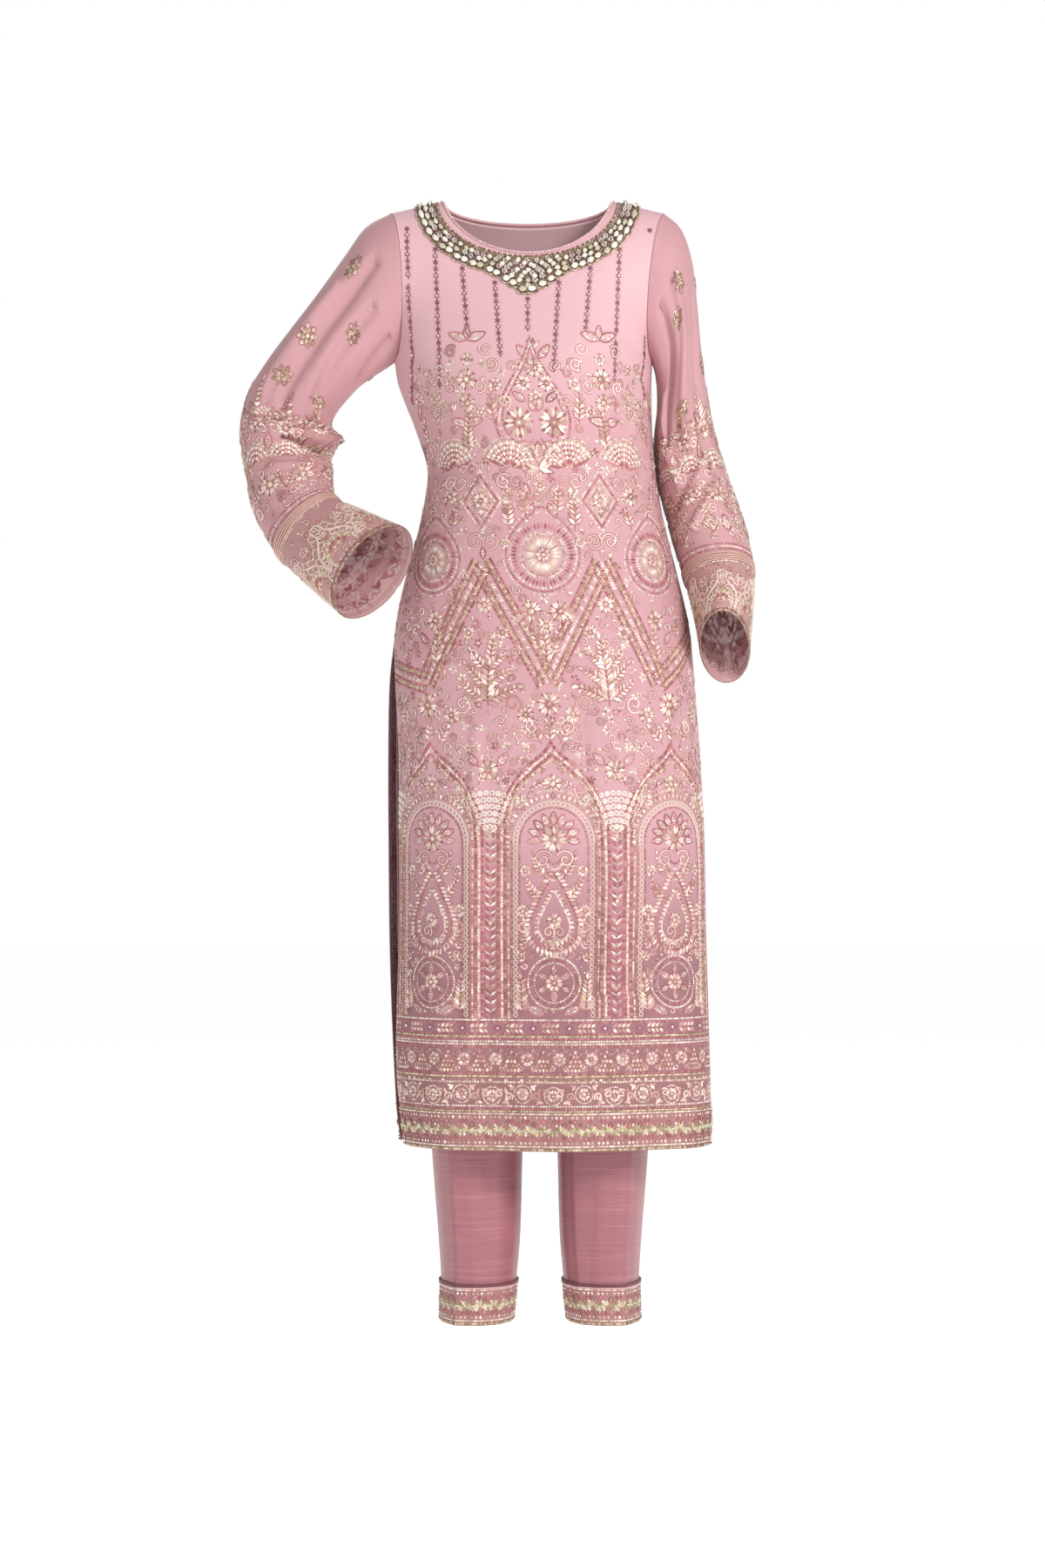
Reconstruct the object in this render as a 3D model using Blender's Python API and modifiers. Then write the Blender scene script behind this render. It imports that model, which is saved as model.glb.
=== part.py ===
# Salwar kameez suit: a long tunic with side slits and cuffed sleeves, over straight trousers.
# Metres, +Z up. The front faces -Y and the wearer's left is +X.
# The origin lies midway between the two points where the shoulder seams meet the neck.

import math
import bpy
from mathutils import Vector
from mathutils.bvhtree import BVHTree

# Cloth walls
NET = 0.0012
LINING = 0.0010
SILK = 0.0014
TRIM = 0.0010
STONE_BAND = 0.0025
ELASTIC = 0.0030
BINDING_RADIUS = 0.0014
PIPING_RADIUS = 0.0013

# Clearances
SEAM = 0.0003          # how far each edge stands back from its seam line
LAY = 0.0004           # the gap under a trim that lies on a panel
ARMHOLE_GAP = 0.0013   # the sleeves stand this far out from the armholes
BAND_LIFT = 0.0018     # the gap under the stiff stone band
LINING_INSET = 0.0044  # from the face of the net to the face of the lining

# Neck, shoulders and armholes
NECK_HALF = 0.102
NECK_CENTRE = Vector((0.003, 0.0, 0.02))   # the binding stands towards this point from the neckline
NECK_DROP = {"front": 0.0685, "back": 0.022}
NECK_FILL = {"front": 0.62, "back": 0.42}   # how soon a panel falls away from the shoulder seam
SHOULDER_TIP_Z = -0.013
ARMPIT_Z = -0.186
LEAST_DOWN = 0.002     # keeps a place on the yoke just off the shoulder seam
ARMHOLE_DEPTH = 0.050
ARMHOLE_SCOOP = 0.013
ARMHOLE_X = {"right": (-0.161, -0.156), "left": (0.160, 0.146)}   # at the shoulder tip, at the armpit

# Roundness of a cross-section from the middle of a panel to its side
SECTION_POWER = 2.4
SECTION_ROUND = 0.55

# Widths of what is laid on
NECK_BAND_WIDTH = 0.029
NECK_POINT_WIDTH = 0.052
NECK_POINT_HALF = 0.040
NECK_POINT_POWER = 1.3
NECK_BAND_INSET = 0.0015   # from the neckline to the band's inner edge
BRAID_HALF = 0.16      # in sleeve sections, to each side of the cuff seam

# Heights
WAIST_HIGH_Z = -0.27   # the hollow of the waist, where the lining needs every row
WAIST_LOW_Z = -0.40
BODY_MIDDLE_X = 0.02
BODY_TOP_Z = -0.12     # above it the panels' faces look up as well as out
SLIT_TOP_Z = -0.51
BORDER_TOP_Z = -1.0565
HEM_Z = -1.100
LINING_HEM_Z = -1.035
WAISTBAND_TOP_Z = -0.325
WAISTBAND_LOW_Z = -0.352
LEG_BORDER_TOP_Z = -1.262
LEG_HEM_Z = -1.306
TROUSER_MIDDLE_X = 0.0145
LEG_MIDDLE = 0.07      # from the middle of the trousers to the middle of a leg
PRESSED_CREASE_DEG = 55.0
PRESSED_CREASE_HALF_DEG = 32.0
PRESSED_CREASE_RISE = 0.07
CREASE_START_Z = -0.45
CREASE_FULL_Z = -0.75

# The tunic's sections below the armpit. x at its right side, middle and left side, y of the middle
# and of the side edges. The sides are closed above the slits and hang free below them.
FRONT = [
    {"z": -0.186, "right": -0.156, "middle": 0.006, "left": 0.146, "depth": -0.112, "edge": -SEAM},
    {"z": -0.215, "right": -0.151, "middle": 0.007, "left": 0.145, "depth": -0.119, "edge": -SEAM},
    {"z": -0.245, "right": -0.139, "middle": 0.009, "left": 0.145, "depth": -0.121, "edge": -SEAM},
    {"z": -0.270, "right": -0.130, "middle": 0.010, "left": 0.146, "depth": -0.115, "edge": -SEAM},
    {"z": -0.295, "right": -0.120, "middle": 0.012, "left": 0.148, "depth": -0.106, "edge": -SEAM},
    {"z": -0.318, "right": -0.117, "middle": 0.013, "left": 0.150, "depth": -0.100, "edge": -SEAM},
    {"z": -0.345, "right": -0.120, "middle": 0.014, "left": 0.153, "depth": -0.098, "edge": -SEAM},
    {"z": -0.380, "right": -0.127, "middle": 0.016, "left": 0.161, "depth": -0.101, "edge": -SEAM},
    {"z": -0.435, "right": -0.142, "middle": 0.018, "left": 0.175, "depth": -0.108, "edge": -SEAM},
    {"z": -0.480, "right": -0.152, "middle": 0.020, "left": 0.186, "depth": -0.113, "edge": -SEAM},
    {"z": -0.510, "right": -0.156, "middle": 0.021, "left": 0.191, "depth": -0.116, "edge": -SEAM},
    {"z": -0.560, "right": -0.155, "middle": 0.0225, "left": 0.195, "depth": -0.119, "edge": -0.006},
    {"z": -0.640, "right": -0.151, "middle": 0.0265, "left": 0.201, "depth": -0.120, "edge": -0.014},
    {"z": -0.740, "right": -0.150, "middle": 0.030, "left": 0.206, "depth": -0.120, "edge": -0.020},
    {"z": -0.850, "right": -0.150, "middle": 0.030, "left": 0.208, "depth": -0.118, "edge": -0.022},
    {"z": -0.950, "right": -0.153, "middle": 0.030, "left": 0.211, "depth": -0.117, "edge": -0.022},
    {"z": -1.020, "right": -0.153, "middle": 0.030, "left": 0.213, "depth": -0.117, "edge": -0.021},
    {"z": -1.0565, "right": -0.149, "middle": 0.030, "left": 0.214, "depth": -0.118, "edge": -0.020},
    {"z": -1.100, "right": -0.143, "middle": 0.030, "left": 0.213, "depth": -0.119, "edge": -0.019},
]
BACK = [
    {"z": -0.186, "right": -0.156, "middle": 0.006, "left": 0.146, "depth": 0.098, "edge": SEAM},
    {"z": -0.215, "right": -0.151, "middle": 0.007, "left": 0.145, "depth": 0.097, "edge": SEAM},
    {"z": -0.270, "right": -0.130, "middle": 0.010, "left": 0.146, "depth": 0.086, "edge": SEAM},
    {"z": -0.318, "right": -0.117, "middle": 0.013, "left": 0.150, "depth": 0.077, "edge": SEAM},
    {"z": -0.380, "right": -0.127, "middle": 0.016, "left": 0.161, "depth": 0.086, "edge": SEAM},
    {"z": -0.435, "right": -0.142, "middle": 0.018, "left": 0.175, "depth": 0.104, "edge": SEAM},
    {"z": -0.480, "right": -0.152, "middle": 0.020, "left": 0.186, "depth": 0.117, "edge": SEAM},
    {"z": -0.510, "right": -0.156, "middle": 0.021, "left": 0.191, "depth": 0.122, "edge": SEAM},
    {"z": -0.560, "right": -0.162, "middle": 0.0225, "left": 0.193, "depth": 0.126, "edge": 0.008},
    {"z": -0.640, "right": -0.164, "middle": 0.0265, "left": 0.197, "depth": 0.126, "edge": 0.016},
    {"z": -0.740, "right": -0.164, "middle": 0.030, "left": 0.201, "depth": 0.121, "edge": 0.022},
    {"z": -0.900, "right": -0.162, "middle": 0.030, "left": 0.205, "depth": 0.114, "edge": 0.025},
    {"z": -1.0565, "right": -0.155, "middle": 0.030, "left": 0.209, "depth": 0.111, "edge": 0.024},
    {"z": -1.100, "right": -0.150, "middle": 0.030, "left": 0.210, "depth": 0.111, "edge": 0.023},
]

# Soft folds of the tunic: place across a half panel (-1 to 1), where the fold starts and is deepest,
# how far it stands out (or in) there, and its half width.
FRONT_FOLDS = [
    {"at": -0.72, "start": -0.62, "full": -1.10, "rise": 0.0060, "half": 0.20},
    {"at": -0.37, "start": -0.70, "full": -1.10, "rise": -0.0045, "half": 0.22},
    {"at": 0.10, "start": -0.58, "full": -1.10, "rise": 0.0050, "half": 0.24},
    {"at": 0.60, "start": -0.66, "full": -1.10, "rise": -0.0050, "half": 0.22},
    {"at": 0.88, "start": -0.80, "full": -1.10, "rise": 0.0050, "half": 0.14},
]
BACK_FOLDS = [
    {"at": -0.55, "start": -0.60, "full": -1.10, "rise": 0.0080, "half": 0.25},
    {"at": 0.00, "start": -0.66, "full": -1.10, "rise": -0.0070, "half": 0.28},
    {"at": 0.52, "start": -0.62, "full": -1.10, "rise": 0.0070, "half": 0.25},
]

# The sleeves' sections from the armhole to the cuff's edge: the two points of the outline seen from
# the front (outer and inner), y of the middle, half depth, and the section's tilt towards the front.
# ARMHOLE_SCOOPS is how far the first sections are scooped in to meet the tunic.
CUFF_SECTION = 10
ARMHOLE_SCOOPS = (ARMHOLE_SCOOP, 0.009, 0.004)
SLEEVES = {
    "right": [
        {"outer": (-0.161, -0.013), "inner": (-0.156, -0.186), "y": 0.000, "deep": 0.050, "tilt": 0},
        {"outer": (-0.190, -0.029), "inner": (-0.165, -0.193), "y": 0.002, "deep": 0.053, "tilt": 0},
        {"outer": (-0.216, -0.064), "inner": (-0.181, -0.203), "y": 0.005, "deep": 0.054, "tilt": 0},
        {"outer": (-0.246, -0.105), "inner": (-0.198, -0.215), "y": 0.010, "deep": 0.053, "tilt": 0},
        {"outer": (-0.276, -0.143), "inner": (-0.211, -0.228), "y": 0.016, "deep": 0.052, "tilt": 0},
        {"outer": (-0.306, -0.182), "inner": (-0.224, -0.243), "y": 0.022, "deep": 0.052, "tilt": 2},
        {"outer": (-0.330, -0.222), "inner": (-0.231, -0.258), "y": 0.027, "deep": 0.051, "tilt": 5},
        {"outer": (-0.339, -0.268), "inner": (-0.226, -0.277), "y": 0.029, "deep": 0.050, "tilt": 9},
        {"outer": (-0.332, -0.317), "inner": (-0.229, -0.303), "y": 0.020, "deep": 0.048, "tilt": 14},
        {"outer": (-0.320, -0.366), "inner": (-0.229, -0.328), "y": 0.002, "deep": 0.046, "tilt": 18},
        {"outer": (-0.288, -0.419), "inner": (-0.223, -0.348), "y": -0.024, "deep": 0.046, "tilt": 22},
        {"outer": (-0.253, -0.452), "inner": (-0.184, -0.368), "y": -0.052, "deep": 0.050, "tilt": 27},
        {"outer": (-0.214, -0.486), "inner": (-0.141, -0.388), "y": -0.078, "deep": 0.056, "tilt": 33},
    ],
    "left": [
        {"outer": (0.160, -0.013), "inner": (0.146, -0.186), "y": 0.000, "deep": 0.050, "tilt": 0},
        {"outer": (0.180, -0.031), "inner": (0.1495, -0.194), "y": 0.002, "deep": 0.053, "tilt": 0},
        {"outer": (0.193, -0.067), "inner": (0.151, -0.205), "y": 0.006, "deep": 0.055, "tilt": 0},
        {"outer": (0.199, -0.115), "inner": (0.152, -0.220), "y": 0.011, "deep": 0.056, "tilt": 0},
        {"outer": (0.204, -0.166), "inner": (0.152, -0.243), "y": 0.016, "deep": 0.056, "tilt": 2},
        {"outer": (0.210, -0.212), "inner": (0.152, -0.272), "y": 0.020, "deep": 0.056, "tilt": 4},
        {"outer": (0.218, -0.258), "inner": (0.154, -0.303), "y": 0.023, "deep": 0.056, "tilt": 6},
        {"outer": (0.231, -0.304), "inner": (0.158, -0.331), "y": 0.022, "deep": 0.055, "tilt": 9},
        {"outer": (0.246, -0.350), "inner": (0.166, -0.361), "y": 0.014, "deep": 0.053, "tilt": 13},
        {"outer": (0.258, -0.390), "inner": (0.175, -0.398), "y": 0.002, "deep": 0.051, "tilt": 17},
        {"outer": (0.264, -0.432), "inner": (0.186, -0.440), "y": -0.014, "deep": 0.050, "tilt": 22},
        {"outer": (0.262, -0.474), "inner": (0.194, -0.484), "y": -0.032, "deep": 0.054, "tilt": 31},
        {"outer": (0.256, -0.516), "inner": (0.201, -0.529), "y": -0.050, "deep": 0.062, "tilt": 41},
    ],
}

# Folds round a sleeve: the section and the turn from the outer side to the front where the fold is
# deepest, how far it stands out (or in), and its half widths along and round the sleeve.
SLEEVE_FOLDS = {
    "right": [
        {"section": 7.0, "turn": 150, "rise": 0.006, "along": 0.7, "round": 60},
        {"section": 7.75, "turn": 150, "rise": -0.010, "along": 0.5, "round": 70},
        {"section": 2.5, "turn": 70, "rise": -0.004, "along": 2.0, "round": 26},
        {"section": 4.5, "turn": 110, "rise": 0.004, "along": 2.0, "round": 26},
    ],
    "left": [
        {"section": 3.0, "turn": 120, "rise": -0.005, "along": 2.5, "round": 26},
        {"section": 5.0, "turn": 80, "rise": 0.004, "along": 2.5, "round": 26},
        {"section": 8.2, "turn": 150, "rise": -0.005, "along": 0.8, "round": 50},
    ],
}

# One trouser leg, measured outwards from the middle of the trousers: the outseam, the inner edge,
# how far round its oval the front or back reaches (90 ends at the middle seam, 180 at the inseam),
# and the depth of the front and of the back.
LEG = [
    {"z": -0.352, "out": 0.119, "inner": 0.0, "turn": 90, "front": 0.076, "back": 0.058},
    {"z": -0.450, "out": 0.138, "inner": 0.0, "turn": 90, "front": 0.087, "back": 0.083},
    {"z": -0.540, "out": 0.150, "inner": 0.0, "turn": 97, "front": 0.090, "back": 0.100},
    {"z": -0.580, "out": 0.151, "inner": 0.0, "turn": 120, "front": 0.089, "back": 0.098},
    {"z": -0.610, "out": 0.150, "inner": 0.0, "turn": 165, "front": 0.086, "back": 0.092},
    {"z": -0.630, "out": 0.149, "inner": 0.002, "turn": 180, "front": 0.083, "back": 0.088},
    {"z": -0.720, "out": 0.144, "inner": 0.007, "turn": 180, "front": 0.078, "back": 0.081},
    {"z": -0.850, "out": 0.138, "inner": 0.012, "turn": 180, "front": 0.072, "back": 0.075},
    {"z": -1.000, "out": 0.133, "inner": 0.017, "turn": 180, "front": 0.067, "back": 0.070},
    {"z": -1.120, "out": 0.126, "inner": 0.020, "turn": 180, "front": 0.065, "back": 0.066},
    {"z": -1.210, "out": 0.119, "inner": 0.0225, "turn": 180, "front": 0.064, "back": 0.064},
    {"z": -1.262, "out": 0.116, "inner": 0.027, "turn": 180, "front": 0.065, "back": 0.064},
    {"z": -1.306, "out": 0.117, "inner": 0.031, "turn": 180, "front": 0.066, "back": 0.064},
]

# Colours of the cloths and trims: colour, roughness
CLOTHS = {
    "embroidered_net": ((0.60, 0.34, 0.37), 0.62),
    "lining_cloth": ((0.72, 0.42, 0.46), 0.55),
    "sleeve_net": ((0.62, 0.35, 0.38), 0.60),
    "cuff_organza": ((0.62, 0.42, 0.38), 0.50),
    "gold_braid": ((0.62, 0.44, 0.30), 0.45),
    "stone_band": ((0.60, 0.50, 0.40), 0.35),
    "neck_binding": ((0.72, 0.42, 0.46), 0.50),
    "embroidered_border": ((0.50, 0.31, 0.27), 0.60),
    "raw_silk": ((0.46, 0.18, 0.21), 0.45),
    "dark_piping": ((0.30, 0.09, 0.11), 0.50),
}

# How finely each kind of piece is faceted
HALF_COLUMNS = {"front": (5, 5), "back": (4, 4)}   # from the middle to the neck's side, on to the side edge
TOP_STEPS = (0.0, 0.03, 0.1, 0.22, 0.4, 0.65, 1.0)
FRONT_ROWS = (-0.225, -0.262, -0.295, -0.330, -0.375, -0.430, SLIT_TOP_Z + 0.03, SLIT_TOP_Z - 0.03,
              -0.62, -0.72, -0.82, -0.92, -1.0, BORDER_TOP_Z, -1.079, HEM_Z)
BACK_ROWS = (-0.230, -0.275, -0.320, -0.375, -0.430, SLIT_TOP_Z + 0.03, SLIT_TOP_Z - 0.03,
             -0.64, -0.78, -0.92, BORDER_TOP_Z, HEM_Z)
SLEEVE_SIDES = 12
SLEEVE_PLACES = (0.06, 0.5, 1, 2, 3, 4, 5, 6, 6.6, 7.1, 7.5, 7.9, 8.5, 9.2)
CUFF_GAP = 0.01        # in sleeve sections, to each side of the cuff seam
TROUSER_COLUMNS = 7
TROUSER_ROWS = (WAISTBAND_LOW_Z - SEAM, -0.40, -0.45, -0.50, -0.545, -0.58, -0.605, -0.63, -0.68, -0.76,
                -0.86, -0.97, -1.08, -1.17, LEG_BORDER_TOP_Z, LEG_HEM_Z)
BAND_COLUMNS = 34
BAND_ROWS = 3
WAIST_SIDES = 24


# Tables and smooth curves

def between(low, high, share):
    return low + (high - low) * share


def hermite(before, start, end, after, gaps, share):
    # A smooth curve through unevenly spaced rows
    left, middle, right = gaps
    rise_start = (end - start) / middle if left == 0 else (end - before) / (left + middle)
    rise_end = (end - start) / middle if right == 0 else (after - start) / (middle + right)
    square = share * share
    cube = square * share
    return ((2 * cube - 3 * square + 1) * start + (cube - 2 * square + share) * rise_start * middle
            + (3 * square - 2 * cube) * end + (cube - square) * rise_end * middle)


def read(table, column, z):
    # The value of one column at height z, from rows that run downwards
    z = min(max(z, table[-1]["z"]), table[0]["z"])
    row = next(i for i in range(1, len(table)) if z >= table[i]["z"] - 1e-9) - 1
    rows = [table[max(row - 1, 0)], table[row], table[row + 1], table[min(row + 2, len(table) - 1)]]
    gaps = [rows[i]["z"] - rows[i + 1]["z"] for i in range(3)]
    values = [entry[column] for entry in rows]
    return hermite(*values, gaps, (rows[1]["z"] - z) / gaps[1])


def soft_step(low, high, value):
    share = min(max((value - low) / (high - low), 0.0), 1.0)
    return share * share * (3 - 2 * share)


def soft_bump(distance, half):
    return math.cos(0.5 * math.pi * distance / half) ** 2 if abs(distance) < half else 0.0


# The tunic's surface

def armhole_bow(down):
    # 0 at the shoulder tip and the armpit, 1 halfway: an oval armhole
    return 2 * math.sqrt(max(down * (1 - down), 0.0))


def armhole_x(side, down):
    top, bottom = ARMHOLE_X[side]
    sign = 1 if side == "left" else -1
    return between(top, bottom, down) - sign * ARMHOLE_SCOOP * armhole_bow(down)


def shoulder_z(across):
    # The shoulder seam's height for a place across the panel, level over the neck
    side = "left" if across > 0 else "right"
    reach = abs(across * ARMHOLE_X[side][0])
    tip = abs(ARMHOLE_X[side][0])
    return SHOULDER_TIP_Z * max(reach - NECK_HALF, 0.0) / (tip - NECK_HALF)


def yoke_point(face, across, down):
    # Above the armpit: down runs from 0 on the shoulder seam to 1 at the armpit
    table = FRONT if face == "front" else BACK
    sign = -1 if face == "front" else 1
    side = "left" if across > 0 else "right"
    middle = table[0]["middle"] * down
    x = middle + abs(across) * (armhole_x(side, down) - middle)
    top = shoulder_z(across)
    fullness = between(1.0, SECTION_ROUND, soft_step(0.5, 1.0, down))
    share = max(1 - abs(across) ** SECTION_POWER, 0.0) ** fullness
    stand = between(SEAM + NET / 2, SEAM, down)
    edge = sign * (stand + ARMHOLE_DEPTH * armhole_bow(down))
    centre = sign * stand + table[0]["depth"] * down ** NECK_FILL[face]
    return Vector((x, between(edge, centre, share), between(top, ARMPIT_Z, down)))


def skirt_point(face, across, z):
    # Below the armpit
    table = FRONT if face == "front" else BACK
    middle = read(table, "middle", z)
    side_x = read(table, "left" if across > 0 else "right", z)
    share = max(1 - abs(across) ** SECTION_POWER, 0.0) ** SECTION_ROUND
    edge = read(table, "edge", z) if z < SLIT_TOP_Z else table[0]["edge"]
    y = between(edge, read(table, "depth", z), share)
    for fold in FRONT_FOLDS if face == "front" else BACK_FOLDS:
        reach = soft_step(-fold["start"], -fold["full"], -z)
        outward = -fold["rise"] if face == "front" else fold["rise"]
        y += outward * reach * soft_bump(across - fold["at"], fold["half"])
    return Vector((between(middle, side_x, abs(across)), y, z))


def neck_across(side):
    return NECK_HALF / abs(ARMHOLE_X[side][0])


def neck_down(face, across):
    # How far down the yoke the neckline lies
    side = "left" if across > 0 else "right"
    share = min(abs(across) / neck_across(side), 1.0)
    return NECK_DROP[face] / -ARMPIT_Z * math.sqrt(1 - share * share)


def columns(face):
    inner, outer = HALF_COLUMNS[face]
    places = []
    for sign, side in ((-1, "right"), (1, "left")):
        neck = neck_across(side)
        half = [neck * math.sin(0.5 * math.pi * i / inner) for i in range(1, inner + 1)]
        half += [between(neck, 1.0, math.sin(0.5 * math.pi * i / outer)) for i in range(1, outer + 1)]
        places += [sign * place for place in half]
    return sorted(places + [0.0])


def tunic_grid(face):
    grid = []
    for step in TOP_STEPS:
        row = []
        for across in columns(face):
            start = neck_down(face, across)
            row.append(yoke_point(face, across, between(start, 1.0, step)))
        grid.append(row)
    for z in FRONT_ROWS if face == "front" else BACK_ROWS:
        grid.append([skirt_point(face, across, z) for across in columns(face)])
    return grid


# Sleeves and cuffs

def section_values(stations, place):
    # Every column of a sleeve's table at a place between its sections
    first = min(int(place), len(stations) - 2)
    last = len(stations) - 1
    rows = [stations[i] for i in (max(first - 1, 0), first, first + 1, min(first + 2, last))]
    gaps = (0 if first == 0 else 1, 1, 0 if first + 1 == last else 1)

    def smooth(values):
        return hermite(*values, gaps, place - first)

    values = {name: smooth([row[name] for row in rows]) for name in ("y", "deep", "tilt")}
    for name in ("outer", "inner"):
        values[name] = [smooth([row[name][axis] for row in rows]) for axis in (0, 1)]
    scoops = list(ARMHOLE_SCOOPS) + [0.0] * len(stations)
    values["scoop"] = smooth([scoops[max(first - 1, 0)], *scoops[first:first + 3]])
    return values


def sleeve_point(side, place, turn, proud=0.0):
    # turn runs round the section in degrees: 0 at the outer side, 90 at the back, 270 at the front
    values = section_values(SLEEVES[side], place)
    outer = Vector((values["outer"][0], 0, values["outer"][1]))
    inner = Vector((values["inner"][0], 0, values["inner"][1]))
    centre = (outer + inner) / 2 + Vector((0, values["y"], 0))
    wide = (outer - inner) / 2
    sign = 1 if side == "right" else -1
    along = sign * Vector((-wide.z, 0, wide.x)).normalized()
    tilt = math.radians(values["tilt"])
    deep = math.cos(tilt) * Vector((0, 1, 0)) + math.sin(tilt) * along
    angle = math.radians(turn)
    grow = proud
    for fold in SLEEVE_FOLDS[side]:
        swing = (360 - turn - fold["turn"] + 180) % 360 - 180
        reach = soft_bump(place - fold["section"], fold["along"])
        grow += fold["rise"] * reach * soft_bump(swing, fold["round"])
    point = centre + wide.normalized() * (wide.length + grow) * math.cos(angle)
    point += deep * (values["deep"] + grow) * math.sin(angle)
    point.x += sign * (values["scoop"] * abs(math.sin(angle)) - ARMHOLE_GAP)
    return point


def sleeve_grid(side, places, proud=0.0):
    turns = [360 * i / SLEEVE_SIDES for i in range(SLEEVE_SIDES)]
    return [[sleeve_point(side, place, turn, proud) for turn in turns] for place in places]


# Trousers

def leg_point(side, face, z, share, proud=0.0):
    # share runs from 0 at the outseam to 1 at the middle seam or inseam
    sign = 1 if side == "left" else -1
    out, inner = read(LEG, "out", z), read(LEG, "inner", z) + 2 * SEAM
    reach = math.radians(min(read(LEG, "turn", z), 180.0))
    wide = (out - inner) / (1 - math.cos(reach))
    angle = share * reach
    crease = 1 + PRESSED_CREASE_RISE * soft_bump(math.degrees(angle) - PRESSED_CREASE_DEG,
                                                 PRESSED_CREASE_HALF_DEG)
    crease = between(1.0, crease, soft_step(-CREASE_START_Z, -CREASE_FULL_Z, -z))
    x = out - wide + (wide + proud) * math.cos(angle)
    depth = (read(LEG, face, z) + proud) * math.sin(angle) * crease
    depth = max(depth, SEAM * 1.5)
    return Vector((TROUSER_MIDDLE_X + sign * x, depth if face == "back" else -depth, z))


def trouser_grid(side, face):
    shares = [i / TROUSER_COLUMNS for i in range(TROUSER_COLUMNS + 1)]
    return [[leg_point(side, face, z, share) for share in shares] for z in TROUSER_ROWS]


def leg_loop(side, z, proud=0.0):
    # Once round a leg, through the points of its front and back panels
    shares = [i / TROUSER_COLUMNS for i in range(TROUSER_COLUMNS + 1)]
    front = [leg_point(side, "front", z, share, proud) for share in shares]
    back = [leg_point(side, "back", z, share, proud) for share in reversed(shares)]
    loop = front + back
    return [point for i, point in enumerate(loop) if (point - loop[i - 1]).length > 4 * SEAM]


# Meshes

def new_material(slot):
    colour, roughness = CLOTHS[slot]
    material = bpy.data.materials.new(slot)
    material.use_nodes = True
    shader = material.node_tree.nodes["Principled BSDF"]
    shader.inputs["Base Color"].default_value = (*colour, 1.0)
    shader.inputs["Roughness"].default_value = roughness
    shader.inputs["Metallic"].default_value = 0.0
    return material


def sheet_mesh(name, grid, loop=False):
    # An open surface through the rows of points, its faces turned away from the middle of each row
    width = len(grid[0])
    vertices = [point for row in grid for point in row]
    steps = width if loop else width - 1
    faces = []
    for row in range(len(grid) - 1):
        for step in range(steps):
            right = (step + 1) % width
            faces.append((row * width + step, row * width + right,
                          (row + 1) * width + right, (row + 1) * width + step))
    mesh = bpy.data.meshes.new(name)
    mesh.from_pydata(vertices, [], faces)
    return mesh


def face_away(mesh, centre_of):
    # Turn every face over if the faces look towards the centre line on the whole
    outward = 0.0
    for face in mesh.polygons:
        outward += face.area * face.normal.dot(face.center - centre_of(face.center))
    if outward < 0:
        mesh.flip_normals()


def add_object(name, mesh, slot, wall=0.0):
    # The wall grows inwards from the surface
    mesh.materials.append(materials[slot])
    mesh.shade_smooth()
    piece = bpy.data.objects.new(name, mesh)
    collection.objects.link(piece)
    if wall:
        solidify = piece.modifiers.new("wall", "SOLIDIFY")
        solidify.thickness = wall
        solidify.offset = -1.0
    return piece


def add_sheet(name, grid, slot, wall, centre_of, loop=False):
    mesh = sheet_mesh(name, grid, loop)
    face_away(mesh, centre_of)
    return add_object(name, mesh, slot, wall)


def add_tube(name, points, slot, radius, resolution=0):
    curve = bpy.data.curves.new(name, "CURVE")
    curve.dimensions = "3D"
    curve.bevel_depth = radius
    curve.bevel_resolution = resolution
    spline = curve.splines.new("POLY")
    spline.points.add(len(points) - 1)
    for knot, point in zip(spline.points, points):
        knot.co = (*point, 1.0)
    spline.use_cyclic_u = True
    curve.materials.append(materials[slot])
    piece = bpy.data.objects.new(name, curve)
    collection.objects.link(piece)
    return piece


def body_axis(point):
    # A line up the middle of the body, which ends level with the chest
    return Vector((BODY_MIDDLE_X, 0.0, min(point.z, BODY_TOP_Z)))


def moved_out(grid, distance, centre_of):
    # The same rows of points, each moved along the surface's own normal
    mesh = sheet_mesh("guide", grid)
    face_away(mesh, centre_of)
    normals = [vertex.normal.copy() for vertex in mesh.vertices]
    bpy.data.meshes.remove(mesh)
    width = len(grid[0])
    return [[point + normals[row * width + step] * distance for step, point in enumerate(line)]
            for row, line in enumerate(grid)]


# The tunic's pieces

def build_tunic():
    for face in ("front", "back"):
        grid = tunic_grid(face)
        add_sheet("kameez_" + face, grid, "embroidered_net", NET, body_axis)
        rows = FRONT_ROWS if face == "front" else BACK_ROWS
        border_rows = [z for z in rows if z <= BORDER_TOP_Z]
        border = moved_out(grid, LAY + TRIM, body_axis)[-len(border_rows):]
        add_sheet("hem_border_" + face, border, "embroidered_border", TRIM, body_axis)
        build_lining(face, grid)


def build_lining(face, grid):
    # Every second column and most rows of the panel, moved in, and short of the slit edges and the hem
    inset = moved_out(grid, -LINING_INSET, body_axis)
    heights = [line[0].z for line in grid]
    last = next(row for row, z in enumerate(heights) if z <= BORDER_TOP_Z)
    kept = [row for row in range(last) if row % 2 == 0 or WAIST_LOW_Z < heights[row] < WAIST_HIGH_Z]
    kept.append(last)
    width = len(grid[0]) - 1
    lines = []
    for row in kept:
        line = [inset[row][step] for step in range(0, width + 1, 2)]
        if line[0].z < SLIT_TOP_Z:
            line[0] = line[0].lerp(line[1], 0.5)
            line[-1] = line[-1].lerp(line[-2], 0.5)
        if row == kept[-1]:
            for point in line:
                point.z = LINING_HEM_Z
        for point in line:
            point.y = min(point.y, -LINING) if face == "front" else max(point.y, LINING)
        lines.append(line)
    add_sheet("lining_" + face, lines, "lining_cloth", LINING, body_axis)


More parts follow.
